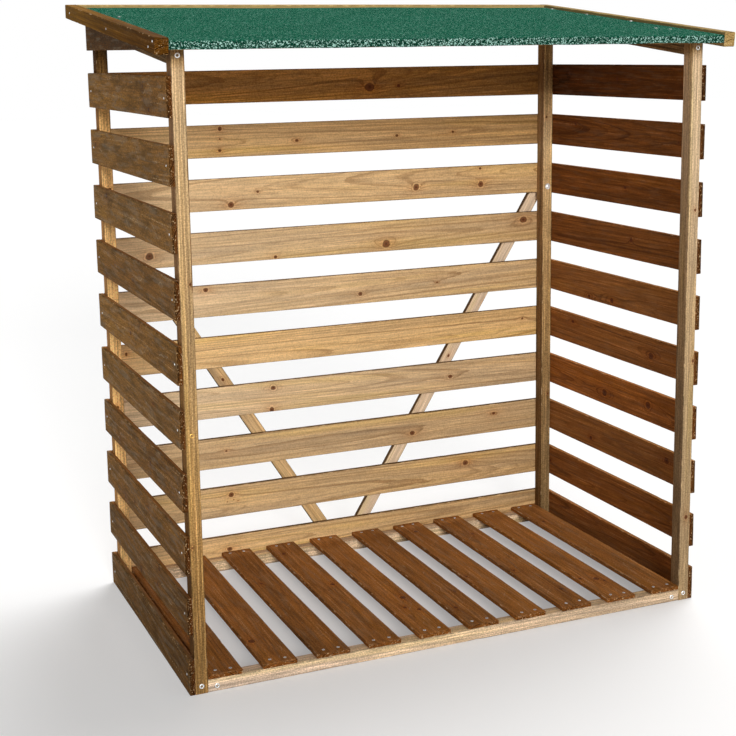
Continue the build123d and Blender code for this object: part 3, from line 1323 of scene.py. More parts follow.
@dataclass
class SideWalls(Assembly):
    """Slats on the outer faces of the posts; the top one of each side is cut to the roof."""

    tones: dict[Side, tuple[Tone, ...]] = field(default_factory=lambda: {
        Side.LEFT: rows(
            Tone, (0.80, 0.30, 1.0, 1.04), (0.86, 0.30, 1.0, 1.06), (0.97, 0.20, 1.0, 1.06),
            (0.90, 0.30, 1.0, 1.06), (1.03, 0.00), (1.14, 0.00), (0.98, 0.10, 1.0, 1.04),
            (1.13, -0.50), (1.09, -0.10), (1.02, 0.20, 1.0, 1.02), (0.50, 0.3, 0.8, 1.15),
        ),
        # On the right, the dark upper slats and the top slat are painted shade under the roof.
        Side.RIGHT: rows(
            Tone, (0.98, 0.30, 1.0, 1.07), (0.98, 0.30, 1.0, 1.07), (0.96, 0.00),
            (1.22, 0.50, 1.0, 1.12), (1.06, 0.10, 1.0, 1.04), (1.04, 0.00), (0.96, 0.20, 1.0, 1.10),
            (0.94, 0.40, 1.0, 1.14), (0.92, 0.30, 1.0, 1.11), (0.66, 0.50, 1.0, 1.20),
            (0.62, 1.3, 0.8, 1.42),
        ),
    })
    knots: dict[str, tuple[Knot, ...]] = field(default_factory=lambda: {
        "right_slat_3": rows(Knot, (0.113, 0.059, 0.009), (0.50, 0.03, 0.006)),
        "right_slat_4": rows(Knot, (0.430, 0.034, 0.010), (0.207, 0.043, 0.010)),
        "right_slat_5": rows(Knot, (0.198, 0.038, 0.010), (0.61, 0.07, 0.005)),
        "right_slat_6": rows(Knot, (0.520, 0.008, 0.006), (0.398, 0.016, 0.007)),
        "right_slat_7": rows(Knot, (0.307, 0.065, 0.006)),
        "right_slat_8": rows(Knot, (0.342, 0.048, 0.005)),
    })

    SLOT: ClassVar[str] = "side_slat_timber"
    FRONT_GAP: ClassVar[float] = 0.0006
    MOST_LEAN: ClassVar[float] = 0.012
    ROOF_FADE: ClassVar[float] = 0.09
    ROOF_DEPTH: ClassVar[float] = 0.03
    FIRST_SHADED: ClassVar[int] = 7

    def far_tone(self, tone: Tone, side: Side, number: int) -> Tone:
        """Tone of a slat's back end: paler on the left, and on the right darker and deeper towards the
        roof, as painted shade.

        Args:
            tone: tone of its front end.
            side: the slat's wall.
            number: its place from the ground, from 1.

        Returns:
            The tone.
        """
        if side is Side.LEFT:
            return tone.far(1.03, 0.93)
        nearness = max(0, number - self.FIRST_SHADED + 1)
        return tone.far(1.0 - self.ROOF_FADE * nearness, 1.0 + self.ROOF_DEPTH * nearness)

    @staticmethod
    def growth(chance: np.random.Generator) -> Growth:
        """A flat-sawn slat: the pith lies well behind or in front of its wide face.

        Args:
            chance: source of the random draws.

        Returns:
            The growth.
        """
        side = float(chance.choice([-1.0, 1.0]))
        return Growth(
            chance.uniform(-0.03, 0.03), side * chance.uniform(0.03, 0.09),
            chance.uniform(-0.03, 0.03), chance.uniform(-0.03, 0.03),
        )

    def build(self) -> None:
        """Make every slat, with its outer face as the one that was sawn last."""
        for side in Side:
            *tones, top = self.tones[side]
            for number, tone in enumerate(tones, 1):
                node = f"{side.word}_slat_{number}"
                chance = draws(node)
                knots = self.knots.get(node) or some_knots(
                    chance, (0.05, 0.74), (0.008, 0.082), (0.0025, 0.007))
                growth, lean = self.growth(chance), chance.uniform(-self.MOST_LEAN, self.MOST_LEAN)
                self.fill(
                    node, Y, Z, side.out, start_cuts=(Cut(self.FRONT_GAP, lean),), knots=knots,
                    tones=(tone, self.far_tone(tone, side, number)), growth=growth,
                )
            self.build_top(side, top)

    def build_top(self, side: Side, tone: Tone) -> None:
        """Make the slat that is cut along the roof: its width grows evenly along.

        Args:
            side: the slat's wall.
            tone: its tone.
        """
        node = f"{side.word}_top_slat"
        low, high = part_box(node)
        self.add(node, timber_in_box(
            low, Vector((high.x, high.y, self.roof.height(low.y))), Y, Z, side.out, seed=node,
            tones=(tone,), widens_along=self.roof.rise, growth=Growth(0.01, -0.05),
            cup=0.0, crook=0.0, arris=0.0014,
        ))


@dataclass(frozen=True)
class Slat:
    """How one back slat differs: tone, growth, knots, and the stain's depth at its far end, partly a
    stain and partly painted shade by the right wall.
    """

    tone: Tone
    growth: Growth
    knots: tuple[Knot, ...]
    far_depth: float = 1.17


@dataclass
class BackWall(Assembly):
    """Slats across the back faces of the back posts, between the side slats."""

    height: float = 0.090
    # Share of light at the far end: painted shade by the right wall.
    fade: float = 0.78
    slats: tuple[Slat, ...] = (
        Slat(Tone(0.97, 0.20), Growth(0.01, 0.05, 0.02, 0.01), rows(
            Knot, (0.33, 0.050, 0.007), (0.96, 0.020, 0.005))),
        Slat(Tone(0.96, 0.00), Growth(-0.02, 0.07, 0.01, 0.02), rows(
            Knot, (0.340, 0.064, 0.006), (0.328, 0.044, 0.0015), (0.347, 0.048, 0.0015),
            (0.360, 0.043, 0.0015), (1.10, 0.060, 0.008))),
        Slat(Tone(0.93, -0.35), Growth(0.00, 0.06, 0.01, 0.0), rows(
            Knot, (0.330, 0.049, 0.0035), (0.92, 0.03, 0.007), (1.20, 0.06, 0.005))),
        Slat(Tone(1.03, -0.50, 1.0, 0.83), Growth(0.02, 0.05, -0.02, 0.02), rows(
            Knot, (0.478, 0.071, 0.007), (0.472, 0.004, 0.006), (1.05, 0.045, 0.006))),
        Slat(Tone(1.08, 0.35), Growth(-0.03, 0.06, 0.03, 0.02), rows(
            Knot, (0.052, 0.064, 0.003), (1.30, 0.055, 0.004))),
        Slat(Tone(1.02, -0.30, 1.0, 0.83), Growth(0.01, 0.08, 0.02, 0.01), rows(
            Knot, (1.007, 0.044, 0.003), (0.756, 0.029, 0.006), (0.286, 0.077, 0.006),
            (0.16, 0.030, 0.004))),
        Slat(Tone(0.94, -0.20, 1.0, 0.87), Growth(-0.01, 0.05, 0.03, 0.01), rows(
            Knot, (0.129, 0.035, 0.010), (0.841, 0.022, 0.0105), (1.302, 0.067, 0.010),
            (0.495, 0.007, 0.0045))),
        Slat(Tone(1.02, 0.00, 1.0, 0.92), Growth(0.02, 0.06, 0.01, -0.03), rows(
            Knot, (0.448, 0.048, 0.004), (0.368, 0.016, 0.007), (0.940, 0.035, 0.008),
            (1.155, 0.035, 0.007), (1.153, 0.082, 0.004))),
        Slat(Tone(0.98, 0.20), Growth(0.00, 0.05, 0.01, 0.01), rows(
            Knot, (0.343, 0.079, 0.0045), (0.341, 0.019, 0.0042), (0.569, 0.039, 0.004),
            (0.880, 0.041, 0.004), (0.342, 0.051, 0.003), (1.062, 0.046, 0.0035)), 1.35),
        # The top full slat's dark, deep tone paints the roof's shadow.
        Slat(Tone(0.93, 0.55, 0.7, 1.66), Growth(0.03, 0.07, 0.03, 0.03), rows(
            Knot, (0.796, 0.035, 0.0115), (0.887, 0.037, 0.0045)), 1.85),
    )
    # The slat cut to the roof is dark: painted shade under the roof.
    top_tone: Tone = Tone(0.60, 0.6, 1.0, 1.3)

    SLOT: ClassVar[str] = "back_slat_timber"

    def build(self) -> None:
        """Make all slats as one piece, with their front faces as the ones sawn last."""
        low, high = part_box("back_slats")
        cut_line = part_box("left_top_slat")[0].z
        pitch = (cut_line - low.z) / len(self.slats)
        made = []
        for number, slat in enumerate(self.slats):
            z = low.z + number * pitch
            # The far end is darker and deeper: painted shade by the right wall.
            far = replace(slat.tone, light=slat.tone.light * self.fade, depth=slat.far_depth, at=1.0)
            made.append(timber_in_box(
                Vector((low.x, low.y, z)), Vector((high.x, high.y, z + self.height)), X, Z, -Y,
                seed=f"back {number}", tones=(slat.tone, far), growth=slat.growth, knots=slat.knots,
                bow=0.0012, crook=0.0012,
            ))
        top = self.roof.height(high.y)
        made.append(timber_in_box(
            Vector((low.x, low.y, cut_line)), Vector((high.x, high.y, top)), X, Z, -Y, seed="back top",
            tones=(self.top_tone,), growth=Growth(0.0, 0.05, 0.0, 0.0),
            widens_through=-self.roof.rise, cup=0.0, crook=0.0,
        ))
        self.add("back_slats", *made)


@dataclass
class BackBraces(Assembly):
    """Two braces across the outside of the back, leaning in to the middle at the ground."""

    tones: dict[Side, Tone] = field(default_factory=lambda: {
        Side.LEFT: Tone(0.98, 1.0, 1.0, 1.1), Side.RIGHT: Tone(1.10, -0.60, 0.7, 0.96),
    })

    SLOT: ClassVar[str] = "brace_timber"
    LEAST_CUT: ClassVar[float] = 0.004

    def build(self) -> None:
        """Make each brace from the outline of its node."""
        for side, tone in self.tones.items():
            node = f"{side.word}_back_brace"
            self.add(node, self.from_outline(
                self.frame["nodes"][node], seed=node, tones=(tone,), growth=Growth(0.02, 0.05),
                knots=rows(Knot, (0.66, 0.024, 0.0045), (0.86, 0.010, 0.003)),
            ))

    def from_outline(self, node: bpy.types.Object, **details: object) -> Timber:
        """Read the grain's direction and the end cuts from a node's flat outline.

        The outline is the node's corners seen from behind, in order round their middle.
        Its longest side gives the grain; sides that lean from the grain are cuts.

        Args:
            node: the CAD node's object.
            details: further fields of the timber.

        Returns:
            The timber.
        """
        flat = np.empty(len(node.data.vertices) * 3)
        node.data.vertices.foreach_get("co", flat)
        corners = flat.reshape(-1, 3)
        front, back = corners[:, 1].min(), corners[:, 1].max()
        outline = np.unique(np.round(corners[:, [0, 2]], 6), axis=0)
        outline = outline[np.argsort(np.arctan2(*(outline - outline.mean(axis=0)).T[::-1]))]
        sides = np.roll(outline, -1, axis=0) - outline
        grain = sides[np.argmax(np.linalg.norm(sides, axis=1))]
        grain = grain / np.linalg.norm(grain) * (1.0 if grain[1] > 0.0 else -1.0)
        square = np.array([-grain[1], grain[0]])
        s, b = outline @ grain, outline @ square
        x, z = s.min() * grain + b.min() * square
        s, b = s - s.min(), b - b.min()
        starts, ends = [], []
        for s0, s1, b0, b1 in zip(s, np.roll(s, -1), b, np.roll(b, -1)):
            if abs(b1 - b0) >= self.LEAST_CUT:
                lean = (s1 - s0) / (b1 - b0)
                (starts if s0 + s1 < s.max() else ends).append(Cut(s0 - lean * b0, lean))
        return Timber(
            np.array([x, front, z]), np.array([grain[0], 0.0, grain[1]]),
            np.array([square[0], 0.0, square[1]]), Y, s.max(), b.max(), back - front,
            start_cuts=tuple(starts), end_cuts=tuple(ends), bow=0.0, crook=0.0, twist=0.0, **details,
        )


# ---- Roof ----


@dataclass
class RoofDeck(Assembly):
    """Boards side by side across the slope, seen from below."""

    count: int = 10
    gap: float = 0.0012
    seed: int = 5

    SLOT: ClassVar[str] = "deck_timber"

    def build(self) -> None:
        """Make all boards as one piece."""
        corner, (width, length, thick) = self.roof.slab("roof_deck")
        up, out = self.roof.uphill, self.roof.outward
        pitch = length / self.count
        draw = np.random.default_rng(self.seed).uniform
        self.add("roof_deck", *(
            Timber(
                corner + up * number * pitch + out * thick, X, up, -out, width, pitch - self.gap, thick,
                seed=f"deck {number}", arris=0.0028, step=0.02,
                tones=(Tone(draw(0.9, 1.08), draw(-0.1, 0.3)),),
                growth=Growth(draw(-0.02, 0.02), draw(0.04, 0.09), 0.01, 0.01),
                knots=(
                    Knot(draw(0.2, 0.7), draw(0.02, 0.07), 0.007),
                    Knot(draw(0.7, 1.2), draw(0.02, 0.07), 0.005),
                ),
                cup=0.0, bow=0.0, crook=0.0, twist=0.0,
            )
            for number in range(self.count)
        ), name="roof_deck_boards")


@dataclass
class RoofFelt(Assembly):
    """The felt: one sheet over the deck, folded down over its front edge."""

    fold: float = 0.006
    across: int = 190
    ripple: float = 0.0007
    edge_dip: float = 0.0008
    edge_reach: float = 0.006
    lip_waves: tuple[float, float] = (0.0006, 0.0005)

    SLOT: ClassVar[str] = "roof_felt"

    def build(self) -> None:
        """Carry the felt's outline up the slope across the width, with slow ripples.

        The outline is straight down the slope, a quarter circle at the front edge, and
        straight down the lip. Sines of the two distances lift the top a little, a bell
        curve sinks its side edges, and further sines wave the lip.
        """
        corner, (width, length, lip) = self.roof.slab("roof_felt")
        fold, bend = self.fold, np.radians(np.linspace(90.0, 180.0, 9))[1:]
        top, drop = np.linspace(length, fold, 100), np.linspace(lip - fold, 0.0, 7)[1:]
        v = np.concatenate([top, fold + fold * np.cos(bend), 0 * drop])
        w = np.concatenate([0 * top + lip, lip - fold + fold * np.sin(bend), drop])
        x, v = np.meshgrid(np.linspace(0.0, width, self.across), v, indexing="ij")
        wave = (
            np.sin(x * 9.0 + 1.3 * np.sin(v * 7.0)) * np.sin(v * 8.0 + 0.7)
            + 0.5 * np.sin(x * 23.0 + v * 5.0 + 2.0) * np.sin(v * 17.0)
        )
        dip = -self.edge_dip * np.exp(-((np.minimum(x, width - x) / self.edge_reach) ** 2))
        on_top = np.clip((w - lip + fold) / fold, 0.0, 1.0)
        w = w + on_top * (self.ripple * (wave - 1.0) + dip)
        w = w + (1.0 - on_top) * self.lip_waves[0] * (1.0 + np.sin(x * 31.0 + np.sin(x * 12.0)))
        v = v + (1.0 - on_top) * self.lip_waves[1] * (1.0 + np.sin(x * 17.0 + 0.4))
        points = (
            corner + x[..., None] * X
            + v[..., None] * self.roof.uphill + w[..., None] * self.roof.outward
        )
        # The lip's mark, which the felt's finish uses for painted shade and glints
        turned = np.broadcast_to((1.0 - on_top)[:, None], (*x.shape, 3))
        sheet = Surface(
            points.reshape(-1, 3), grid_quads(*x.shape), np.zeros((0, 3), int),
            {"fold": turned.reshape(-1, 3)},
        )
        made = sheet.piece("roof_felt_sheet", self.finishes[self.SLOT])
        wall = made.modifiers.new("thickness", "SOLIDIFY")
        wall.thickness, wall.offset = lip - self.roof.slab("roof_deck")[1][2], -1.0
        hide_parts("roof_felt")


@dataclass
class RoofTrims(Assembly):
    """Battens that frame the roof on its sides and at the back, standing above the felt."""

    tones: dict[str, tuple[Tone, ...]] = field(default_factory=lambda: {
        # The left trim's dark, deep tone paints the shade on its left face; it is lighter towards the
        # back.
        "left": (Tone(0.51, 0.5, 1.0, 1.46), Tone(0.51, 0.5, 1.0, 1.46).far(1.38, 0.78)),
        "right": (Tone(0.60, -1.4, 1.0, 0.68),),
        "back": (Tone(0.92, -0.2, 1.0, 0.64),),
    })

    SLOT: ClassVar[str] = "trim_timber"

    def build(self) -> None:
        """Make the two side trims along the slope and the back trim across it."""
        up, out = self.roof.uphill, self.roof.outward
        for place, tones in self.tones.items():
            node = f"{place}_roof_trim"
            corner, (width, length, thick) = self.roof.slab(node)
            flat = ((X, up), (width, length)) if place == "back" else ((up, X), (length, width))
            self.add(node, Timber(
                corner, *flat[0], out, *flat[1], thick, seed=node, tones=tones, twist=0.014,
                arris=0.0022, growth=Growth(0.02, -0.05, 0.01, 0.01),
                knots=rows(Knot, (0.41, 0.014, 0.004), (0.12, 0.018, 0.003)),
            ))


# ---- Fasteners ----


@dataclass(frozen=True)
class HeadShape:
    """A fastener's head, turned round its axis.

    The outline runs from the seat to the crown as pairs of radius and height. A recess
    sinks a cross into the crown, marked as soil to paint shade in it, and the head gets a
    dark rim round it; sides above zero make it a polygon such as a nut.
    """

    outline: tuple[tuple[float, float], ...]
    recess: float = 0.0
    arm: float = 0.0
    sides: int = 0
    around: int = 20

    def cross(self, u: Array, v: Array) -> Array:
        """How deep each point lies in the cross: the deeper of its two slots.

        Args:
            u, v: distances from the axis.

        Returns:
            A number from 0 to 1 for each point.
        """
        def slot(over: Array, along: Array) -> Array:
            """One slot: soft at its sides and at its ends."""
            sides = np.clip(1.6 - np.abs(over) / (0.38 * self.arm), 0.0, 1.0)
            return sides * np.clip(3.0 - 2.6 * np.abs(along) / self.arm, 0.0, 1.0)

        return np.maximum(slot(u, v), slot(v, u))

    def surface(self, point: Array, outward: Array, turn: float) -> Surface:
        """Work out one head.

        Args:
            point: place on the timber's face.
            outward: direction away from the face.
            turn: angle round the axis.

        Returns:
            The closed surface.
        """
        spin = np.linspace(0.0, math.tau, self.around, endpoint=False)
        radius, height = (np.array(row)[:, None] for row in zip(*self.outline))
        u, v = radius * np.cos(spin), radius * np.sin(spin)
        if self.sides:
            part = math.tau / self.sides
            flat = math.cos(part / 2) / np.cos(spin % part - part / 2)
            flat = np.where(radius >= self.outline[0][0] * 0.92, flat, 1.0)
            u, v = u * flat, v * flat
        h, deep = np.broadcast_to(height, u.shape), np.zeros(u.shape)
        if self.recess:
            h = h - self.recess * self.cross(u, v) * (height > 0.0)
            # The cross and the rim are marked as soil: painted shade in the recess, and a dark rim
            deep = ((h < height - 0.25 * self.recess) & (height > 0.0)).astype(float)
            deep[:2] = 1.0
        side = np.cross(outward, [0.31, 0.52, 0.79])
        side = side / np.linalg.norm(side)
        other = np.cross(outward, side)
        first = math.cos(turn) * side + math.sin(turn) * other
        second = math.cos(turn) * other - math.sin(turn) * side
        rings = point + u[..., None] * first + v[..., None] * second + h[..., None] * outward
        poles = point + outward * np.array([[self.outline[0][1]], [self.outline[-1][1] - self.recess]])
        soil = np.append(deep, [0.0, float(self.recess > 0.0)])[:, None]
        return Surface(
            np.concatenate([rings.reshape(-1, 3), poles]), *tube_faces(len(radius), self.around),
            {"soil": np.repeat(soil, 3, axis=1)},
        )


class Head(Enum):
    """The kinds of head on the store."""

    NAIL = HeadShape(((0.0026, -0.0012), (0.0027, 0.0001), (0.0024, 0.0004), (0.0012, 0.0005)))
    SCREW = HeadShape((
        (0.0062, -0.0015), (0.0064, 0.0001), (0.0055, 0.0003), (0.0050, 0.0008), (0.0038, 0.0011),
        (0.0028, 0.0011), (0.0022, 0.0011), (0.0017, 0.0011), (0.0011, 0.0011), (0.0005, 0.0011),
    ), recess=0.0016, arm=0.0034, around=32)
    SMALL_SCREW = HeadShape((
        (0.0041, -0.0012), (0.0042, 0.0001), (0.0036, 0.0003), (0.0032, 0.0007), (0.0021, 0.0008),
        (0.0016, 0.0008), (0.0011, 0.0008), (0.0006, 0.0008),
    ), recess=0.0010, arm=0.0021, around=24)
    CLOUT = HeadShape(((0.0038, -0.0010), (0.0040, 0.0001), (0.0037, 0.0006), (0.0020, 0.0008)))
    COACH_BOLT = HeadShape((
        (0.0090, -0.0010), (0.0093, 0.0004), (0.0088, 0.0016), (0.0074, 0.0030),
        (0.0052, 0.0040), (0.0026, 0.0046),
    ), around=28)
    WASHER = HeadShape(
        ((0.0088, -0.0010), (0.0090, 0.0006), (0.0086, 0.0013), (0.0050, 0.0014)), around=28)
    NUT = HeadShape((
        (0.0065, 0.0010), (0.0065, 0.0052), (0.0060, 0.0058), (0.0034, 0.0058),
        (0.0030, 0.0075), (0.0026, 0.0080),
    ), sides=6, around=30)


@dataclass
class Fasteners(Assembly):
    """All nails, screws and bolts, placed from the boxes of the timbers that they hold."""

    seeds: tuple[int, int, int] = (21, 22, 23)
    from_end: float = 0.020
    slack: float = 0.004
    board_slack: float = 0.003
    slat_shares: tuple[float, float] = (0.25, 0.75)
    board_shares: tuple[float, float] = (0.27, 0.73)
    rail_share: float = 0.6
    post_heights: tuple[float, ...] = (0.019, 1.470)
    rail_height: float = 0.0135
    rail_inset: float = 0.022
    brace_margin: float = 0.018
    brace_reach: float = 0.93
    brace_pair: tuple[tuple[float, float], ...] = ((0.0, 0.014), (-0.004, -0.018))
    brace_bolt_height: float = 1.060
    post_bolt_height: float = 0.624
    trim_spots: tuple[tuple[float, float], ...] = (
        (0.018, 0.75), (0.055, 0.33), (0.48, 0.42), (0.94, 0.5),
    )
    back_trim_spots: tuple[float, ...] = (0.03, 0.22, 0.41, 0.60, 0.79, 0.97)
    felt_sink: float = 0.0006
    left_felt_spots: tuple[tuple[float, float], ...] = (
        (0.037, 0.67), (0.010, 0.91), (0.010, 0.40), (0.010, 0.16),
    )
    right_felt_spots: tuple[tuple[float, float], ...] = (
        (0.010, 0.71), (0.010, 0.93), (0.076, 0.21), (0.054, 0.175), (0.012, 0.45),
    )

    def build(self) -> None:
        """Make every set as one piece."""
        for name, head, finish, places in (
            ("side_wall_nails", Head.NAIL, "dull_steel", self.side_nails()),
            ("back_wall_nails", Head.NAIL, "dull_steel", self.back_nails()),
            ("floor_board_screws", Head.SMALL_SCREW, "bright_zinc", self.board_screws()),
            ("frame_screws", Head.SCREW, "bright_zinc", self.frame_screws()),
            ("felt_clout_nails", Head.CLOUT, "bright_zinc", self.felt_nails()),
            ("roof_trim_nails", Head.NAIL, "dull_steel", self.trim_nails()),
            ("back_brace_nails", Head.NAIL, "dull_steel", self.brace_nails()),
            ("brace_bolt_head", Head.COACH_BOLT, "bright_zinc", self.bolt("back_right_post", -Y)),
            ("brace_bolt_washer", Head.WASHER, "bright_zinc", self.bolt("right_back_brace", Y)),
            ("brace_bolt_nut", Head.NUT, "bright_zinc", self.bolt("right_back_brace", Y)),
            ("post_bolt_head", Head.SCREW, "yellow_plate", self.post_bolt()),
        ):
            chance = draws(name)
            Surface.joined([
                head.value.surface(np.array(point, float), way, chance.uniform(0.0, math.tau))
                for point, way in places
            ]).piece(name, self.finishes[finish])

    def side_nails(self) -> Places:
        """One nail where each side slat crosses a post, halfway up the slat."""
        chance = np.random.default_rng(self.seeds[0])
        for side in Side:
            at_back = middle(f"back_{side.word}_post")[1]
            for number in range(1, SLATS + 1):
                low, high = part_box(f"{side.word}_slat_{number}")
                for y in (low.y + self.from_end, at_back):
                    dy, dz = chance.uniform(-self.slack, self.slack, 2)
                    yield (side.outer(low.x, high.x), y + dy, (low.z + high.z) / 2 + dz), side.out

    def back_nails(self) -> Places:
        """Two nails where each back slat crosses a back post, driven from behind."""
        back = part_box("back_slats")[1].y
        chance = np.random.default_rng(self.seeds[1])
        for number in range(1, SLATS + 1):
            low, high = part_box(f"left_slat_{number}")
            for side in Side:
                for share in self.slat_shares:
                    dx, dz = chance.uniform(-self.slack, self.slack, 2)
                    z = low.z + share * (high.z - low.z) + dz
                    yield (middle(f"back_{side.word}_post")[0] + dx, back, z), Y

    def board_screws(self) -> Places:
        """Two screws through each floor board into each floor rail."""
        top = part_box("floor_boards")[1].z
        chance = np.random.default_rng(self.seeds[2])
        for rail in ("front_floor_rail", "back_floor_rail"):
            low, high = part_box(rail)
            for x in FloorBoards.spots():
                for share in self.board_shares:
                    dx, dy = chance.uniform(-self.board_slack, self.board_slack, 2)
                    y = low.y + self.rail_share * (high.y - low.y) + dy
                    yield (x + share * FloorBoards.WIDTH + dx, y, top), Z

    def frame_screws(self) -> Places:
        """Screws on the front: at the post heads, the post feet and the ends of the rail."""
        low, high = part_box("front_floor_rail")
        for side in Side:
            post = f"front_{side.word}_post"
            for height in self.post_heights:
                yield (middle(post)[0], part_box(post)[0].y, height), -Y
            end = side.outer(low.x, high.x)
            yield (end - side.value * self.rail_inset, low.y, self.rail_height), -Y

    def felt_nails(self) -> Places:
        """Clout nails along the side edges of the felt, just inside the trims."""
        up, out = self.roof.uphill, self.roof.outward
        corner, (width, length, lip) = self.roof.slab("roof_felt")
        right = [(width - inset, share) for inset, share in self.right_felt_spots]
        for x, share in [*self.left_felt_spots, *right]:
            yield corner + X * x + up * share * length + out * (lip - self.felt_sink), out

    def trim_nails(self) -> Places:
        """Nails through the outer faces of the roof trims into the deck."""
        up, out = self.roof.uphill, self.roof.outward
        for side in Side:
            corner, (width, length, thick) = self.roof.slab(f"{side.word}_roof_trim")
            for share, rise in self.trim_spots:
                outer = corner + X * side.outer(0.0, width)
                yield outer + up * share * length + out * rise * thick, side.out
        corner, (width, length, thick) = self.roof.slab("back_roof_trim")
        for share in self.back_trim_spots:
            yield corner + X * (share * width) + up * length + out * 0.42 * thick, up

    def brace_nails(self) -> Places:
        """Two nails where each brace crosses a back slat."""
        for side in Side:
            low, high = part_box(f"{side.word}_back_brace")
            foot, head = abs(side.outer(high.x, low.x)), abs(side.outer(low.x, high.x))
            for number in range(1, SLATS + 1):
                z = middle(f"left_slat_{number}")[2]
                share = (z - low.z) / (high.z - low.z)
                if share > self.brace_reach:
                    break
                x = foot + self.brace_margin + share * (head - foot - 2 * self.brace_margin)
                for dx, dz in self.brace_pair:
                    yield (side.value * (x + dx), high.y, z + dz), Y

    def bolt(self, node: str, way: Array) -> Places:
        """The coach bolt through the back right post and its brace.

        Args:
            node: name of the node that its head, washer or nut lies on.
            way: direction that the node's face looks in.
        """
        low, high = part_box(node)
        y = low.y if way[1] < 0.0 else high.y
        yield (middle("back_right_post")[0], y, self.brace_bolt_height), way

    def post_bolt(self) -> Places:
        """The yellow bolt in the front left post."""
        post = "front_left_post"
        yield (middle(post)[0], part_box(post)[0].y, self.post_bolt_height), -Y


# ---- Studio ----


@dataclass(frozen=True)
class Sun:
    """A parallel light: where it comes from, its strength, and how wide it looks in degrees."""

    name: str
    source: tuple[float, float, float]
    strength: float
    spread: float

    def build(self) -> None:
        """Put the light into the scene."""
        data = bpy.data.lights.new(self.name, "SUN")
        data.energy = self.strength
        data.angle = math.radians(self.spread)
        made = placed(self.name, data)
        made.rotation_euler = Vector(self.source).to_track_quat("Z", "Y").to_euler()


@dataclass
class Studio:
    """Pale floor, white surroundings, a soft key, a soft high light behind, and the camera."""

    eye: tuple[float, float, float] = (-1.4953, -3.3799, 1.4714)
    yaw: float = 23.074
    pitch: float = -10.469
    roll: float = -0.8315
    lens: float = 68.58
    shift: tuple[float, float] = (-0.0069, -0.0776)
    suns: tuple[Sun, ...] = (
        Sun("key", (-0.12, -0.95, 0.26), 2.3, 17.0), Sun("back", (0.41, 0.28, 0.87), 2.4, 36.0),
    )
    soft_light: float = 0.22
    floor_glow: float = 0.31
    floor_shade: float = 0.67
    floor_reach: float = 30.0
    floor_height: float = -0.0002

    def build(self) -> None:
        """Make the camera, the lights, the world and the floor."""
        self.camera()
        for sun in self.suns:
            sun.build()
        self.world()
        self.floor()

    def camera(self) -> None:
        """A long lens a little above head height, turned to the right and down."""
        yaw, pitch, roll = (math.radians(angle) for angle in (self.yaw, self.pitch, self.roll))
        flat = math.cos(pitch)
        ahead = Vector((math.sin(yaw) * flat, math.cos(yaw) * flat, math.sin(pitch)))
        level = Vector((math.cos(yaw), -math.sin(yaw), 0.0))
        over = level.cross(ahead)
        right = math.cos(roll) * level + math.sin(roll) * over
        up = math.cos(roll) * over - math.sin(roll) * level
        data = bpy.data.cameras.new("camera")
        data.lens, data.sensor_width = self.lens, 36.0
        data.shift_x, data.shift_y = self.shift
        made = placed("camera", data)
        turn = Matrix((right, up, -ahead)).transposed().to_4x4()
        made.matrix_world = Matrix.Translation(self.eye) @ turn
        bpy.context.scene.camera = made

    @staticmethod
    def emptied(owner: bpy.types.Material | bpy.types.World) -> Graph:
        """Clear the node tree of a material or a world.

        Args:
            owner: the material or world.

        Returns:
            A graph on its tree.
        """
        owner.use_nodes = True
        owner.node_tree.nodes.clear()
        return Graph(owner.node_tree)

    @staticmethod
    def seen(g: Graph) -> Value:
        """Tell what the camera sees, straight or in gloss or glass, from soft light.

        Args:
            g: graph of the floor's finish or the world.

        Returns:
            1 for what the camera sees, and 0 for soft light.
        """
        path = g.node("LightPath")
        camera, gloss, glass = (
            Value(g, path.outputs[f"Is {kind} Ray"]) for kind in ("Camera", "Glossy", "Transmission")
        )
        return g.math("MAXIMUM", g.math("MAXIMUM", camera, gloss), glass)

    def world(self) -> None:
        """White where the camera or gloss looks, and a plain dim grey for soft light."""
        world = bpy.data.worlds.new("studio")
        bpy.context.scene.world = world
        g = self.emptied(world)
        dim = g.result("Background", (1.0, 0.99, 0.97, 1.0), self.soft_light)
        white = g.result("Background", (1.0, 1.0, 1.0, 1.0))
        g.node("OutputWorld", g.result("MixShader", self.seen(g), dim, white))

    def floor(self) -> None:
        """A wide pale floor that keeps the store's shadow."""
        finish = bpy.data.materials.new("pale_floor")
        g = self.emptied(finish)
        matt = g.result("BsdfDiffuse", (*[self.floor_shade] * 3, 1.0))
        glow = g.result("Emission", None, self.seen(g) * self.floor_glow)
        g.node("OutputMaterial", g.result("AddShader", matt, glow))
        spots = np.linspace(-self.floor_reach, self.floor_reach, 5)
        x, y = np.meshgrid(spots, spots, indexing="ij")
        points = np.stack([x, y, 0 * x + self.floor_height], axis=-1).reshape(-1, 3)
        mesh = bpy.data.meshes.new("floor")
        mesh.from_pydata(points.tolist(), [], grid_quads(*x.shape)[:, ::-1].tolist())
        mesh.materials.append(finish)
        floor = placed("floor", mesh)


# ---- Log store ----

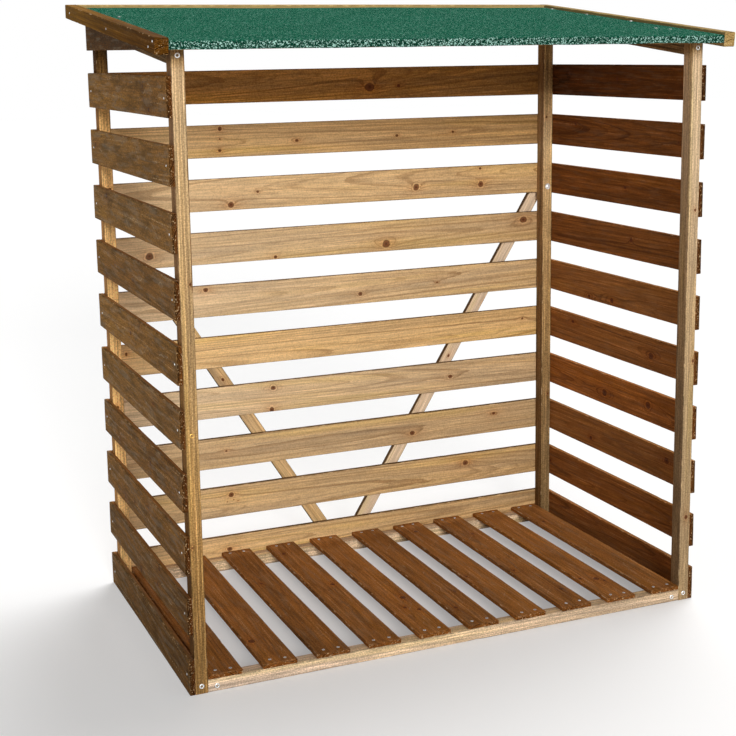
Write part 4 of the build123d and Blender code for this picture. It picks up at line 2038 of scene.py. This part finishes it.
# The narrow colours tint the narrow faces: painted shade on the side faces, partly soil on the edges.
TIMBER_FINISHES = (
    TimberFinish("post_timber", (206, 178, 133), (106, 73, 38), narrow=(190, 174, 167),
                 ring=0.0052, contrast=0.90, crisp=2.7, grime=0.15, wander=0.25),
    TimberFinish("rail_timber", (224, 200, 168), (160, 124, 84), crisp=2.6, grime=0.2, wander=0.5),
    TimberFinish("side_slat_timber", (162, 110, 60), (90, 52, 22), outside=(236, 248, 222),
                 end_grain=(146, 134, 118), crisp=1.9, grime=1.0, sawn=0.2, contrast=0.7, blotch=1.3),
    TimberFinish("back_slat_timber", (220, 190, 142), (132, 96, 54), narrow=(120, 102, 84),
                 ring=0.0052, contrast=0.70, crisp=1.35),
    TimberFinish("floor_timber", (160, 106, 51), (92, 56, 24), crisp=1.9, grime=0.5),
    TimberFinish("brace_timber", (206, 182, 146), (150, 116, 78), narrow=(120, 104, 86), crisp=1.5),
    TimberFinish("trim_timber", (166, 129, 62), (102, 68, 28), end_grain=(255, 248, 236),
                 crisp=1.6, grime=0.15, wander=0.5),
    TimberFinish("deck_timber", (190, 152, 104), (150, 110, 66), crisp=1.4),
)
OTHER_FINISHES = (
    FeltFinish("roof_felt"),
    MetalFinish("bright_zinc", (246, 246, 244), (186, 186, 180), 0.24, 0.6),
    MetalFinish("dull_steel", (240, 240, 236), (120, 116, 108), 0.26),
    MetalFinish("yellow_plate", (226, 178, 92), (110, 80, 40), 0.30, 0.2),
)
ASSEMBLIES = (
    FramePosts, TopRails, FloorRails, FloorBoards, SideWalls, BackWall, BackBraces, RoofDeck,
    RoofFelt, RoofTrims, Fasteners,
)


class LogStore:
    """The whole store, built assembly by assembly."""

    def __init__(self, frame: dict[str, object]) -> None:
        """Make the finishes and the assemblies.
        """
        groups, roof = WoodGroups(), RoofPlane.over_posts()
        finishes = {finish.name: finish.material(groups) for finish in TIMBER_FINISHES}
        finishes |= {finish.name: finish.material() for finish in OTHER_FINISHES}
        self.parts = [assembly(frame, roof, finishes) for assembly in ASSEMBLIES]

    def build(self) -> None:
        """Build every assembly in order."""
        for part in self.parts:
            part.build()


def main() -> None:
    """Load the frame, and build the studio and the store."""
    logging.basicConfig(level=logging.INFO, format="%(name)s: %(message)s")
    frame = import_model()
    scene = bpy.context.scene
    scene.view_settings.view_transform = "Standard"
    Studio().build()
    LogStore(frame).build()


if __name__ == "__main__":
    main()
